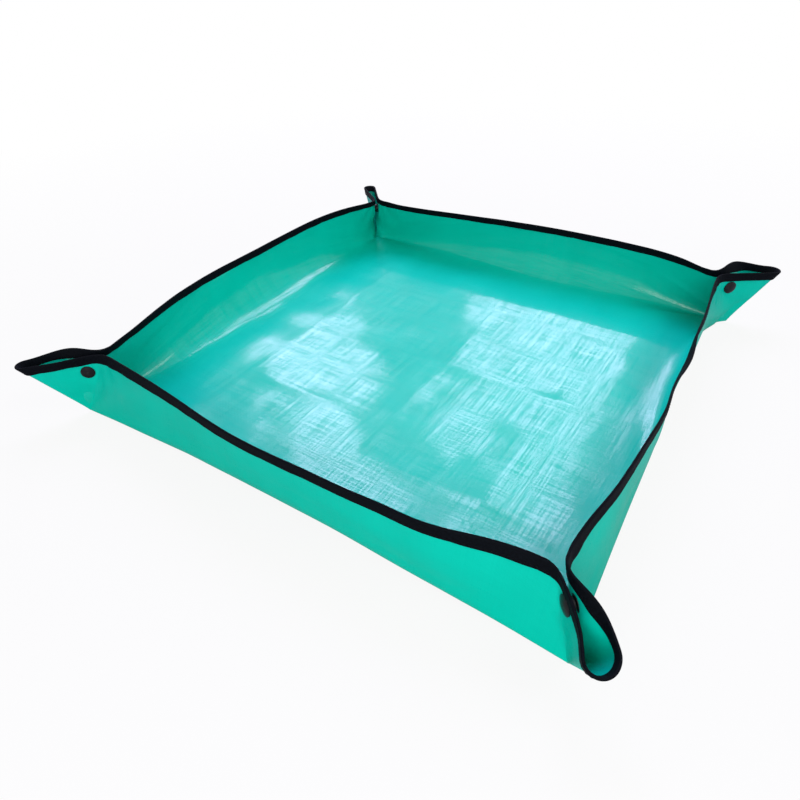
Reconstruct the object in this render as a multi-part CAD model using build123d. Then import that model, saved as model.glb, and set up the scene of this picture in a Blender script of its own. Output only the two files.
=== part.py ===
from build123d import *
from math import asin, atan2, copysign, cos, hypot, radians, sin, sqrt, tan
import os

# Potting soil tray: a square coated sheet whose corners are pinched together by press-studs.
# Millimetres and degrees. The origin is the middle of the floor's underside, +Z is up
# and the front is -Y.

# Sheet and its folds
SHEET_SIDE = 680.0
SHEET_THICK = 0.8
WALL_SLANT = 72.0
CORNER_LEAN = 108.0
MID_LEAN = 82.0
HINGE_GAP = 0.3
CREASE_GAP = 0.25
FOLD_GAP = 0.2

# Ears, the loose corners outside the studs
EAR_RISE = 53.0
EAR_TAKE_UP = 20.0
EAR_ROUND = 11.0
EAR_ROOT = 8.0

# Edge binding, a tape folded over the rim
TAPE_DEPTH = 10.0
TAPE_THICK = 0.7
TAPE_FIT = 0.05

# Press-stud: cap with its hollow rivet, socket, ring spring, stud and post
CAP_RADIUS = 7.5
CAP_HEIGHT = 2.4
CAP_EDGE = 0.9
CAP_WALL = 0.6
RIVET_RADIUS = 1.8
RIVET_BORE = 1.2
RIVET_CLINCH = 0.4
RIVET_FIT = 0.1
SOCKET_RADIUS = 6.0
SOCKET_HEIGHT = 3.2
SOCKET_BASE = 0.6
SOCKET_LIP = 0.4
SPRING_WIRE = 0.8
SPRING_ARC = 320.0
SPRING_FIT = 0.1
BALL_RADIUS = 2.2
BALL_SHOULDER = 1.5
BALL_WALL = 0.45
BALL_FIT = 0.15
NECK_RADIUS = 1.8
NECK_HEIGHT = 0.7
STUD_RADIUS = 5.5
STUD_FLANGE = 0.8
POST_RADIUS = 7.0
POST_HEIGHT = 1.4
POST_EDGE = 0.5
BARREL_RADIUS = 1.1
HOLE_FIT = 0.2
MATE_GAP = 0.3
SNAP_CLEAR = 0.5
SNAP_FROM_CREASE = 12.0

# The pinch and the rim, worked out from the sizes above
FLOOR_HALF = SHEET_SIDE / 2 - WALL_SLANT
PINCH_GAP = SOCKET_HEIGHT + MATE_GAP + STUD_FLANGE
PINCH_OUT = FLOOR_HALF + WALL_SLANT * cos(radians(CORNER_LEAN))
PINCH_X = PINCH_OUT - PINCH_GAP / sqrt(2)
PINCH_Z = SHEET_THICK + WALL_SLANT * sin(radians(CORNER_LEAN))
HINGE_HALF = FLOOR_HALF - PINCH_GAP / sqrt(2)
RIM_BOW = 2 * WALL_SLANT * sin(radians(CORNER_LEAN - MID_LEAN) / 2)
RIM_SLOPE = 2 * atan2(RIM_BOW, PINCH_X)
MITRE = tan((radians(45) + RIM_SLOPE) / 2)
MEAN_LEAN = radians(CORNER_LEAN + MID_LEAN) / 2

# Directions at the front wall and at its right-hand corner
ALONG = Vector(1, 0, 0)
WALL_OUT = Vector(0, -sin(MEAN_LEAN), -cos(MEAN_LEAN))
DIAGONAL = Vector(1, -1, 0) / sqrt(2)
FLAP_OUT = Vector(-1, -1, 0) / sqrt(2)

# The right-hand ear's root at the floor, its pinch at the rim and its tip, all on the diagonal plane
ROOT = Vector(FLOOR_HALF + HINGE_HALF, -FLOOR_HALF - HINGE_HALF, 2 * SHEET_THICK) / 2
PINCH = Vector(PINCH_X + PINCH_OUT, -PINCH_X - PINCH_OUT, 2 * PINCH_Z) / 2
FOLD_LENGTH = WALL_SLANT * sqrt(2) - EAR_TAKE_UP
FOLD_RUN = DIAGONAL * FOLD_LENGTH * cos(radians(EAR_RISE))
TIP_Z = SHEET_THICK + FOLD_LENGTH * sin(radians(EAR_RISE))
TIP = Vector(FLOOR_HALF, -FLOOR_HALF, TIP_Z) + FOLD_RUN
EAR_ALONG = (TIP - PINCH).normalized()
EAR_LENGTH = (TIP - PINCH).length
CREASE_DOWN = (ROOT - PINCH).normalized()
CREASE_LENGTH = (ROOT - PINCH).length
CREASE_SQUARE = CREASE_DOWN.cross(EAR_ALONG).length

# Place of the stud: just under the binding, where the two flaps lie flat against each other
SNAP_BELOW = TAPE_DEPTH + SNAP_CLEAR + CAP_RADIUS
SNAP_DROP = CREASE_DOWN * SNAP_BELOW / CREASE_SQUARE
SNAP_SPOT = PINCH + SNAP_DROP + EAR_ALONG * SNAP_FROM_CREASE
SNAP_FOOT = 1 - (SNAP_BELOW + CAP_RADIUS) / CREASE_SQUARE / CREASE_LENGTH
SNAP_PLANE = Plane(origin=SNAP_SPOT, x_dir=EAR_ALONG, z_dir=FLAP_OUT)
EAR_FLAT = (SNAP_FROM_CREASE + CAP_RADIUS + SNAP_CLEAR) / SNAP_FOOT

# Levels up a panel, from 0 at the floor to 1 at the rim
WALL_FOOT = HINGE_GAP / WALL_SLANT
EAR_FOOT = EAR_ROOT / CREASE_LENGTH
RIM = 1.0
TAPE_FOOT = RIM - TAPE_DEPTH / WALL_SLANT
TAPE_TOP = RIM + (TAPE_FIT + TAPE_THICK) / WALL_SLANT
SLOT_RUN_OUT = 1.0
SLOT_FOOT = TAPE_FOOT - SLOT_RUN_OUT / WALL_SLANT
SLOT_TOP = RIM + TAPE_FIT / WALL_SLANT

# Heights in the stud, along its axis from the diagonal plane towards the cap
CLOTH_INNER = PINCH_GAP / 2
CLOTH_OUTER = CLOTH_INNER + SHEET_THICK
RIVET_END = CLOTH_INNER - SOCKET_BASE - RIVET_CLINCH
SOCKET_FACE = CLOTH_INNER - SOCKET_HEIGHT
STUD_FACE = STUD_FLANGE - CLOTH_INNER
NECK_TOP = STUD_FACE + NECK_HEIGHT
BALL_TOP = RIVET_END - MATE_GAP
BORE_TOP = BALL_TOP - BALL_WALL
CAVITY_RADIUS = BALL_RADIUS + 2 * BALL_FIT
SPRING_RADIUS = BALL_RADIUS + BALL_FIT + SPRING_WIRE / 2
GROOVE_RADIUS = SPRING_RADIUS + SPRING_WIRE / 2 + SPRING_FIT
GROOVE_HEIGHT = SPRING_WIRE + 2 * SPRING_FIT
GROOVE_FOOT = SOCKET_FACE + SOCKET_LIP
SPRING_LEVEL = GROOVE_FOOT + GROOVE_HEIGHT / 2

# Walls in the order of quarter turns about +Z, and the corner at each wall's right-hand end
WALLS = ["front", "right", "back", "left"]
CORNERS = ["front_right", "back_right", "back_left", "front_left"]


def wall_arc(level, offset, end_gap):
    """Left end, middle and right end of the front wall at a level, offset outward from its inner face."""
    half = HINGE_HALF + level * (PINCH_X - HINGE_HALF)
    bow = level * RIM_BOW
    slope = 2 * atan2(bow, half)
    set_back = end_gap + MITRE * max(offset, 0)
    end_along = half + offset * sin(slope) - set_back * cos(slope)
    end_out = offset * cos(slope) + set_back * sin(slope)
    chord_out = FLOOR_HALF + level * (PINCH_OUT - FLOOR_HALF)
    chord_z = SHEET_THICK + level * (PINCH_Z - SHEET_THICK)
    chord = Vector(0, -chord_out, chord_z)
    left = chord - ALONG * end_along + WALL_OUT * end_out
    middle = chord + WALL_OUT * (bow + offset)
    right = chord + ALONG * end_along + WALL_OUT * end_out
    return left, middle, right


def wall_outline(level, inner, outer, end_gap):
    """Closed outline of the front wall at a level, between two offsets from its inner face."""
    near = wall_arc(level, inner, end_gap)
    far = wall_arc(level, outer, end_gap)
    return Wire([
        Edge.make_three_point_arc(near[0], near[1], near[2]),
        Edge.make_line(near[2], far[2]),
        Edge.make_three_point_arc(far[2], far[1], far[0]),
        Edge.make_line(far[0], near[0]),
    ])


def flap_line(level, offset, end_gap):
    """Crease, bend, and the start, middle and end of the ear's round, offset from the flap's inner face."""
    base = ROOT + (PINCH - ROOT) * level
    flat = level * EAR_FLAT
    ear_round = level * EAR_ROUND
    centre = level * EAR_LENGTH - ear_round
    radius = ear_round + offset
    spread = asin(ear_round / hypot(centre - flat, CLOTH_INNER)) - atan2(CLOTH_INNER, centre - flat)
    start_turn = radians(90) + spread
    end_turn = asin((end_gap - CREASE_GAP + FOLD_GAP) / radius)
    middle_turn = (start_turn + end_turn) / 2

    def place(along, out):
        return base + EAR_ALONG * along + FLAP_OUT * out

    def on_round(turn):
        return place(centre + radius * cos(turn), radius * sin(turn))

    crease = place(end_gap + MITRE * max(offset, 0), CLOTH_INNER + offset)
    bend = place(flat - offset * tan(spread / 2), CLOTH_INNER + offset)
    return crease, bend, on_round(start_turn), on_round(middle_turn), on_round(end_turn)


def flap_outline(level, inner, outer, end_gap):
    """Closed outline of the right-hand ear's front flap at a level, between two offsets."""
    near = flap_line(level, inner, end_gap)
    far = flap_line(level, outer, end_gap)
    return Wire([
        Edge.make_line(near[0], near[1]),
        Edge.make_line(near[1], near[2]),
        Edge.make_three_point_arc(near[2], near[3], near[4]),
        Edge.make_line(near[4], far[4]),
        Edge.make_three_point_arc(far[4], far[3], far[2]),
        Edge.make_line(far[2], far[1]),
        Edge.make_line(far[1], far[0]),
        Edge.make_line(far[0], near[0]),
    ])


def panel(outline, foot, top, inner, outer, end_gap):
    """Solid between two levels of a wall or flap."""
    low = outline(foot, inner, outer, end_gap)
    high = outline(top, inner, outer, end_gap)
    return Solid.make_loft([low, high], ruled=True)


def cloth(outline, foot):
    """The sheet itself, from its foot to the rim."""
    return panel(outline, foot, RIM, 0, SHEET_THICK, CREASE_GAP)


def binding(outline):
    """Tape folded over the rim of a wall or flap."""
    proud = TAPE_FIT + TAPE_THICK
    tape = panel(outline, TAPE_FOOT, TAPE_TOP, -proud, SHEET_THICK + proud, CREASE_GAP)
    slot = panel(outline, SLOT_FOOT, SLOT_TOP, -TAPE_FIT, SHEET_THICK + TAPE_FIT, -SLOT_RUN_OUT)
    return tape - slot


def pierced(flap, rivet):
    """A flap with the stud's hole for a rivet of the given radius."""
    reach = 2 * CLOTH_OUTER
    return flap - SNAP_PLANE * Cylinder(rivet + HOLE_FIT, 2 * reach)


def straight(*points):
    """Edges of a turned section through points, each a radius and a height."""
    spots = [Vector(radius, 0, height) for radius, height in points]
    return [Edge.make_line(first, second) for first, second in zip(spots, spots[1:])]


def dome(top, radius, edge):
    """Arc of a turned section from the axis at the top to the dome's edge."""
    rise = top - edge
    ball = (radius ** 2 + rise ** 2) / (2 * rise)
    middle = top - ball + copysign(sqrt(ball ** 2 - radius ** 2 / 4), ball)
    return Edge.make_three_point_arc(Vector(0, 0, top), Vector(radius / 2, 0, middle), Vector(radius, 0, edge))


def turned(edges, arc=360):
    """Solid turned about the stud's axis at the right-hand ear of the front wall."""
    return SNAP_PLANE * revolve(Face(Wire(edges)), Axis.Z, arc)


def snap_cap():
    """Domed cap with the hollow rivet that holds the socket."""
    edge = CLOTH_OUTER + CAP_EDGE
    top = CLOTH_OUTER + CAP_HEIGHT
    inside = CAP_RADIUS - CAP_WALL
    roof = edge - CAP_WALL / 2
    return turned([dome(top, CAP_RADIUS, edge)] + straight(
        (CAP_RADIUS, edge),
        (CAP_RADIUS, CLOTH_OUTER),
        (inside, CLOTH_OUTER),
        (inside, roof),
        (RIVET_RADIUS, roof),
        (RIVET_RADIUS, RIVET_END),
        (RIVET_BORE, RIVET_END),
        (RIVET_BORE, roof),
        (0, roof),
        (0, top),
    ))


def snap_socket():
    """Socket on the cap's side, with the groove of the ring spring."""
    hole = RIVET_RADIUS + RIVET_FIT
    groove_top = GROOVE_FOOT + GROOVE_HEIGHT
    return turned(straight(
        (hole, CLOTH_INNER),
        (SOCKET_RADIUS, CLOTH_INNER),
        (SOCKET_RADIUS, SOCKET_FACE),
        (CAVITY_RADIUS, SOCKET_FACE),
        (CAVITY_RADIUS, GROOVE_FOOT),
        (GROOVE_RADIUS, GROOVE_FOOT),
        (GROOVE_RADIUS, groove_top),
        (CAVITY_RADIUS, groove_top),
        (CAVITY_RADIUS, CLOTH_INNER - SOCKET_BASE),
        (hole, CLOTH_INNER - SOCKET_BASE),
        (hole, CLOTH_INNER),
    ))


def snap_spring():
    """Split ring of round wire in the socket's groove."""
    centre = Plane(origin=(SPRING_RADIUS, 0, SPRING_LEVEL), z_dir=(0, 1, 0))
    wire = Edge.make_circle(SPRING_WIRE / 2, centre)
    return turned([wire], SPRING_ARC)


def snap_stud():
    """Flanged stud with the ball that the spring grips."""
    ball = Edge.make_three_point_arc(
        Vector(NECK_RADIUS, 0, NECK_TOP),
        Vector(BALL_RADIUS, 0, (NECK_TOP + BALL_TOP) / 2),
        Vector(BALL_SHOULDER, 0, BALL_TOP),
    )
    bore = BARREL_RADIUS + RIVET_FIT
    flange = straight(
        (bore, -CLOTH_INNER),
        (STUD_RADIUS, -CLOTH_INNER),
        (STUD_RADIUS, STUD_FACE),
        (NECK_RADIUS, STUD_FACE),
        (NECK_RADIUS, NECK_TOP),
    )
    inside = straight(
        (BALL_SHOULDER, BALL_TOP),
        (0, BALL_TOP),
        (0, BORE_TOP),
        (bore, BORE_TOP),
        (bore, -CLOTH_INNER),
    )
    return turned(flange + [ball] + inside)


def snap_post():
    """Low domed disc outside the sheet, with the barrel that holds the stud."""
    edge = -CLOTH_OUTER - POST_EDGE
    top = -CLOTH_OUTER - POST_HEIGHT
    return turned([dome(top, POST_RADIUS, edge)] + straight(
        (POST_RADIUS, edge),
        (POST_RADIUS, -CLOTH_OUTER),
        (BARREL_RADIUS, -CLOTH_OUTER),
        (BARREL_RADIUS, BORE_TOP - RIVET_FIT),
        (0, BORE_TOP - RIVET_FIT),
        (0, top),
    ))


def floor_panel():
    """Flat floor of the tray, lying on Z = 0."""
    side = 2 * FLOOR_HALF
    return Pos(0, 0, SHEET_THICK / 2) * Box(side, side, SHEET_THICK)


def save(name, shape):
    """Write one piece under its name."""
    export_step(shape, "parts/" + name + ".step")


os.makedirs("parts", exist_ok=True)
save("floor_panel", floor_panel())

wall_cloth = cloth(wall_outline, WALL_FOOT)
wall_tape = binding(wall_outline)
flap_cloth = cloth(flap_outline, EAR_FOOT)
flap_tape = binding(flap_outline)
cap_flap = pierced(flap_cloth, RIVET_RADIUS)
stud_flap = mirror(pierced(flap_cloth, BARREL_RADIUS), Plane.YZ)
stud_tape = mirror(flap_tape, Plane.YZ)

for quarter, wall in enumerate(WALLS):
    turn = Rot(0, 0, 90 * quarter)
    right_corner = CORNERS[quarter]
    left_corner = CORNERS[quarter - 1]
    save(wall + "_wall_panel", turn * wall_cloth)
    save(wall + "_rim_binding", turn * wall_tape)
    save(right_corner + "_ear_" + wall + "_flap", turn * cap_flap)
    save(right_corner + "_ear_" + wall + "_binding", turn * flap_tape)
    save(left_corner + "_ear_" + wall + "_flap", turn * stud_flap)
    save(left_corner + "_ear_" + wall + "_binding", turn * stud_tape)
    save(right_corner + "_snap_cap", turn * snap_cap())
    save(right_corner + "_snap_socket", turn * snap_socket())
    save(right_corner + "_snap_spring", turn * snap_spring())
    save(right_corner + "_snap_stud", turn * snap_stud())
    save(right_corner + "_snap_post", turn * snap_post())
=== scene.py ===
"""Looks of the potting soil tray: a pinched square of coated woven sheet with a taped rim and press-studs."""

import logging
import math
from dataclasses import dataclass, field
from enum import Enum

import bpy
import numpy as np
from mathutils import Matrix, Vector


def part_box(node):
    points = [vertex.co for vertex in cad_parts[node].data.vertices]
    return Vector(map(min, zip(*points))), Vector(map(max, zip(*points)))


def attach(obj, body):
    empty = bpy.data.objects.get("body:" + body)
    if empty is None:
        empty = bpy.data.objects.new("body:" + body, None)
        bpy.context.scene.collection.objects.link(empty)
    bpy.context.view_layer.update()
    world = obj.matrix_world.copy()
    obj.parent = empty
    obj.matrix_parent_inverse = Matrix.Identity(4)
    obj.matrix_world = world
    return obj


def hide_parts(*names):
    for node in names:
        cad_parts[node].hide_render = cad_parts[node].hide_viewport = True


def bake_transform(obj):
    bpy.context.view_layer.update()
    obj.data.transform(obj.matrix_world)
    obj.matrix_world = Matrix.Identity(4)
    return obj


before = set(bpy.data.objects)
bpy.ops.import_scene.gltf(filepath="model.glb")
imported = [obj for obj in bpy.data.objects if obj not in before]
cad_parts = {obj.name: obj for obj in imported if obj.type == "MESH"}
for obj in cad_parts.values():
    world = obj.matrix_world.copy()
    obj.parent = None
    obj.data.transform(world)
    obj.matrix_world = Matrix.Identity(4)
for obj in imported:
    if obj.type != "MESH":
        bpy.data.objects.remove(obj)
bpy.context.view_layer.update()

LOG = logging.getLogger("tray")
Array = np.ndarray
Colour = tuple[float, float, float]
Point = tuple[float, float, float]
Span = tuple[float, float]
Socket = bpy.types.NodeSocket
CORNERS = ("front_right", "back_right", "back_left", "front_left")
MICRONS_PER_METRE = 1e6
NOISE_RANGE = (0.3, 0.7)
WINDOW_TINT = (1.0, 0.88, 1.36)


class Wall(Enum):
    """The four walls, numbered by quarter turns about +Z from the front."""

    FRONT = 0
    RIGHT = 1
    BACK = 2
    LEFT = 3

    @property
    def label(self) -> str:
        """Name of the wall in its pieces."""
        return self.name.lower()

    @property
    def right_corner(self) -> str:
        """Corner at the wall's right-hand end, seen from outside."""
        return CORNERS[self.value]

    @property
    def left_corner(self) -> str:
        """Corner at the wall's left-hand end, seen from outside."""
        return CORNERS[self.value - 1]

    def turned(self, points: Array) -> Array:
        """Turn points or plane coordinates of the front wall to this wall.

        Args:
            points: Coordinates whose last axis starts with x and y.

        Returns:
            The turned coordinates.
        """
        turned = np.array(points, float)
        for _ in range(self.value):
            turned[..., 0], turned[..., 1] = -turned[..., 1].copy(), turned[..., 0].copy()
        return turned

    @property
    def undone(self) -> "Wall":
        """Wall whose turns undo those of this wall."""
        return Wall(-self.value % len(CORNERS))

    def piece_names(self, part: str, kind: str) -> tuple[str, str, str]:
        """Names of a kind of piece on the wall, on its right-hand flap and on its left-hand flap."""
        ear = f"_ear_{self.label}_{kind}"
        return f"{self.label}_{part}_{kind}", self.right_corner + ear, self.left_corner + ear


def smoothstep(value: Array) -> Array:
    """Smooth ramp of a value clipped to the range from 0 to 1."""
    ramp = np.clip(value, 0.0, 1.0)
    return ramp * ramp * (3.0 - 2.0 * ramp)


def unit(vectors: Array) -> Array:
    """Vectors scaled to length 1 along their last axis."""
    return vectors / np.maximum(np.linalg.norm(vectors, axis=-1, keepdims=True), 1e-12)


def grid_normals(points: Array) -> Array:
    """Unit normals of a grid of points, outward where columns run rightward and rows upward.

    Args:
        points: Rows by columns by 3 coordinates.

    Returns:
        One normal for each point.
    """
    along = np.gradient(points, axis=1)
    up = np.gradient(points, axis=0)
    return unit(np.cross(along, up))


def grid_faces(rows: int, columns: int) -> Array:
    """Quads of a grid of points, facing the inside of the tray.

    Args:
        rows: Rows of points.
        columns: Columns of points.

    Returns:
        The four points of each quad.
    """
    index = np.arange(rows * columns).reshape(rows, columns)
    corners = (index[:-1, :-1], index[1:, :-1], index[1:, 1:], index[:-1, 1:])
    return np.stack([corner.ravel() for corner in corners], axis=-1)


def run_along(points: Array) -> Array:
    """Length along lines of points at each of their points, from 0."""
    steps = np.linalg.norm(np.diff(points, axis=0), axis=-1)
    return np.concatenate([np.zeros_like(steps[:1]), np.cumsum(steps, axis=0)])


def clear_of(points: Array, centre: Array, radius: float) -> Array:
    """Share that grows from 0 at a centre to 1 outside a radius round it."""
    return 1 - np.exp(-(np.linalg.norm(points - centre, axis=-1) / radius) ** 4)


def add_object(name: str, data: bpy.types.ID) -> bpy.types.Object:
    """Make an object of a mesh, light or camera and add it to the scene.

    Args:
        name: Name of the object.
        data: Its mesh, light or camera.

    Returns:
        The object.
    """
    made = bpy.data.objects.new(name, data)
    bpy.context.scene.collection.objects.link(made)
    return made


@dataclass(frozen=True)
class Ripple:
    """Smooth undulation over the flat sheet.

    Attributes:
        seed: Seed of its lattice of heights.
        cell: Size of a lattice cell along the sheet's two sides, in metres.
        height: Height from its lowest to its highest point, in metres.
        count: Points along each side of the lattice, which repeats.
        shift: Cells from the lattice's first point to the sheet's middle.
    """

    seed: int
    cell: Span
    height: float
    count: int = 97
    shift: Span = (40.37, 40.71)

    def at(self, across: Array, along: Array) -> Array:
        """Heights at places on the sheet, from 0 to the full height.

        Args:
            across: Places along the sheet's first side, in metres.
            along: Places along its second side, in metres.

        Returns:
            The heights, in metres.
        """
        lattice = np.random.default_rng(self.seed).random((self.count, self.count))
        place_s = across / self.cell[0] + self.shift[0]
        place_t = along / self.cell[1] + self.shift[1]
        first_s = np.floor(place_s).astype(int)
        first_t = np.floor(place_t).astype(int)
        mix_s = smoothstep(place_s - first_s)
        mix_t = smoothstep(place_t - first_t)

        def corner(step_s: int, step_t: int) -> Array:
            """Lattice heights at one corner of each place's cell."""
            return lattice[(first_s + step_s) % self.count, (first_t + step_t) % self.count]

        low = corner(0, 0) * (1 - mix_s) + corner(1, 0) * mix_s
        high = corner(0, 1) * (1 - mix_s) + corner(1, 1) * mix_s
        return self.height * (low * (1 - mix_t) + high * mix_t)


@dataclass(frozen=True)
class Plan:
    """Sizes of the folded sheet, in metres.

    Attributes:
        floor_half: Half the floor's side.
        level: Height of the sheet's middle over the ground.
        slant: Length of a wall from floor to rim.
        pinch: Distance of a pinch from the tray's middle, along both sides.
        pinch_z: Height of a pinch.
        tip: Distance of an ear's tip from the tray's middle, along both sides.
        tip_z: Height of an ear's tip.
        gap_half: Distance of the sheet from the diagonal plane at a pinch.
        flat: Length of an ear that lies flat beside its pinch.
        strip: Width of the floor that goes with a wall.
        least_bend: Length of the soft fold at a floor corner.
        ease: How gently a soft fold sets in, from 2/3 for an even bend to 1.
        slit_half: Distance of a crease from the diagonal plane near the floor.
        slit_span: Share of a crease's height over which it leaves the diagonal plane.
        gap_from: Share of a crease's height where the gap of the pinch starts to open.
        gap_span: Share of a crease's height over which that gap opens.
        crowding: How much closer together a wall's points lie towards its ends.
        columns: Points along a wall.
        rows: Points up a wall.
        bend_rows: Points round a soft fold.
        strip_rows: Points across the floor strip.
        ear_columns: Points along an ear.
    """

    floor_half: float = 0.268
    level: float = 0.0006
    slant: float = 0.072
    pinch: float = 0.24423
    pinch_z: float = 0.06928
    tip: float = 0.30282
    tip_z: float = 0.06615
    gap_half: float = 0.0027
    flat: float = 0.0322
    strip: float = 0.070
    least_bend: float = 0.0004
    ease: float = 0.74
    slit_half: float = 0.0004
    slit_span: float = 0.05
    gap_from: float = 0.25
    gap_span: float = 0.37
    crowding: float = 0.35
    columns: int = 141
    rows: int = 35
    bend_rows: int = 22
    strip_rows: int = 9
    ear_columns: int = 61

    @property
    def root_point(self) -> Array:
        """Floor corner at the front wall's right-hand end."""
        return np.array([self.floor_half, -self.floor_half, self.level])

    @property
    def pinch_point(self) -> Array:
        """Pinch at the front wall's right-hand end, on the diagonal plane."""
        return np.array([self.pinch, -self.pinch, self.pinch_z])

    @property
    def tip_point(self) -> Array:
        """Tip of the ear at the front wall's right-hand end."""
        return np.array([self.tip, -self.tip, self.tip_z])

    @property
    def diagonal(self) -> Array:
        """Direction from the tray's middle to the front wall's right-hand corner."""
        return np.array([1.0, -1.0, 0.0]) / math.sqrt(2)

    @property
    def flap_out(self) -> Array:
        """Direction out of the front wall's right-hand flap."""
        return np.array([-1.0, -1.0, 0.0]) / math.sqrt(2)

    @property
    def ear_square(self) -> Array:
        """Direction along the ear, square to its crease.

        Returns:
            A vector of length 1.
        """
        crease = unit(self.pinch_point - self.root_point)
        along = unit(self.tip_point - self.pinch_point)
        return unit(along - crease * float(along @ crease))

    def spread(self) -> Array:
        """Places along a wall from -1 to 1, closer together towards its ends."""
        steps = np.linspace(-1.0, 1.0, self.columns)
        return steps * (1 + self.crowding - self.crowding * steps ** 2)

    def stand_off(self, share: Array) -> Array:
        """Distance of a crease from the diagonal plane at shares of its height."""
        slit = self.slit_half * smoothstep(share / self.slit_span)
        return slit + (self.gap_half - self.slit_half) * smoothstep((share - self.gap_from) / self.gap_span)

    def crease(self, share: Array) -> Array:
        """Points of the front wall's right-hand crease at shares of its height.

        Args:
            share: Shares of the crease's height from 0 to 1.

        Returns:
            One point for each share.
        """
        share = np.asarray(share)[..., None]
        line = self.root_point + share * (self.pinch_point - self.root_point)
        return line + self.stand_off(share) * self.flap_out


@dataclass(frozen=True)
class Swell:
    """Shape of one flap of an ear.

    Attributes:
        bulge: How far it swells out, in metres.
        flat: Length beside the pinch that lies flat at the rim, in metres.
        lift: How far its rim rises, in metres.
    """

    bulge: float
    flat: float
    lift: float = 0.0


@dataclass(frozen=True)
class Ear:
    """Shape of one loose corner.

    Attributes:
        end_round: Radius of the mouth's end, in metres.
        cap_side: The flap with the cap.
        stud_side: The flap with the stud.
        pull: Shift of the tip along the diagonal and upward, in metres.
        soft: Share of the corner's height that rounds into a pocket.
    """

    end_round: float
    cap_side: Swell
    stud_side: Swell
    pull: Span
    soft: float

    def tip_at(self, plan: Plan) -> Array:
        """Tip of this ear, as at the front wall's right-hand end."""
        return plan.tip_point + plan.diagonal * self.pull[0] + np.array([0.0, 0.0, self.pull[1]])


@dataclass(frozen=True)
class FlapForm:
    """How every flap leaves its crease and closes at the tip of its ear.

    Attributes:
        plan: Sizes of the folded sheet.
        end_turns: Points round the end of an ear's mouth.
        fine: Points of the mouth's outline while it is smoothed.
        blur: Points either side over which it is smoothed.
        lead: How near the pinch the swell's crest lies; 1 is halfway and less is nearer.
        rim_from: Share of the height where the rim's own outline starts to set in.
        rim_span: Share of the height over which it sets in.
        part_from: Share of an ear's length where its flaps start to part.
        part_span: Share of an ear's length over which they part.
        arch_lead: How near the pinch the rim's lift is greatest; 1 is halfway and less is nearer.
        arch_grip: How closely that lift keeps to the rim; higher is closer.
        edge_lift: Lift of the fold between the flaps near the floor, in metres.
        edge_span: Share of the height over which it is lifted.
    """

    plan: Plan
    end_turns: int = 60
    fine: int = 600
    blur: int = 25
    lead: float = 0.75
    rim_from: float = 0.76
    rim_span: float = 0.24
    part_from: float = 0.35
    part_span: float = 0.55
    arch_lead: float = 0.6
    arch_grip: int = 4
    edge_lift: float = 0.0007
    edge_span: float = 0.1

    def mouth(self, ear: Ear, bulge: float, flat: float) -> tuple[Array, Array, Array]:
        """Half of an ear's mouth, from the pinch to the tip.

        Args:
            ear: Shape of the ear.
            bulge: How far this flap swells out, in metres.
            flat: Length beside the pinch that lies flat, in metres.

        Returns:
            Distance along the ear, distance from the diagonal plane and length of the outline at each column.
        """
        plan = self.plan
        length = float(np.linalg.norm(ear.tip_at(plan) - plan.pinch_point))
        centre = length - ear.end_round
        reach = math.hypot(centre - flat, plan.gap_half)
        opening = math.asin(ear.end_round / reach) - math.atan2(plan.gap_half, centre - flat)
        turns = np.linspace(math.pi / 2 + opening, 0.0, self.end_turns)
        along = np.concatenate([[0.0, flat], centre + ear.end_round * np.cos(turns)])
        out = np.concatenate([[plan.gap_half, plan.gap_half], ear.end_round * np.sin(turns)])
        run = np.concatenate([[0.0], np.cumsum(np.hypot(np.diff(along), np.diff(out)))])
        fine = np.linspace(0.0, run[-1], self.fine)
        fine_along = np.interp(fine, run, along)
        fine_out = np.interp(fine, run, out)
        swell = np.clip((fine - flat) / (run[-1] - flat), 0.0, 1.0)
        fine_out += bulge * np.sin(math.pi * swell ** self.lead) ** 2
        weights = np.hanning(2 * self.blur + 1)
        weights /= weights.sum()
        before = np.linspace(-self.blur, -1, self.blur) * fine[1]
        mirrored = slice(-2, -self.blur - 2, -1)
        padded_along = np.concatenate([before, fine_along, fine_along[mirrored]])
        padded_out = np.concatenate([np.full(self.blur, plan.gap_half), fine_out, -fine_out[mirrored]])
        fine_along = np.convolve(padded_along, weights, "valid")
        fine_out = np.convolve(padded_out, weights, "valid")
        places = np.linspace(0.0, run[-1], plan.ear_columns)
        return np.interp(places, fine, fine_along), np.interp(places, fine, fine_out), places

    def points(self, ear: Ear, swell: Swell, share: Array) -> tuple[Array, Array]:
        """Points of a flap as at the front wall's right-hand end.

        Args:
            ear: Shape of the ear.
            swell: Shape of this flap.
            share: Shares of the crease's height for its rows.

        Returns:
            The points, from the crease to the tip, and the length of the outline at each.
        """
        plan = self.plan
        rows = share[:, None]
        rise = smoothstep((rows - self.rim_from) / self.rim_span)
        low = self.mouth(ear, swell.bulge, plan.flat)
        top = self.mouth(ear, swell.bulge, swell.flat)
        along, out, run = ((1 - rise) * below + rise * above for below, above in zip(low, top))
        gone = along / along[:, -1:]
        hold = 1 - smoothstep((gone - self.part_from) / self.part_span)
        stand = rows * (out - plan.gap_half * hold) + plan.stand_off(rows) * hold
        base = plan.root_point + rows[..., None] * (plan.pinch_point - plan.root_point)
        ear_along = unit(ear.tip_at(plan) - plan.pinch_point)
        points = base + (rows * along)[..., None] * ear_along + stand[..., None] * plan.flap_out
        arch = np.sin(math.pi * np.clip(gone, 0.0, 1.0) ** self.arch_lead) ** 2
        edge = self.edge_lift * smoothstep(rows / self.edge_span) * (1 - rows) * along / along[:, -1:]
        points[..., 2] += swell.lift * arch * rows ** self.arch_grip + edge
        return points, rows * run


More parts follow.
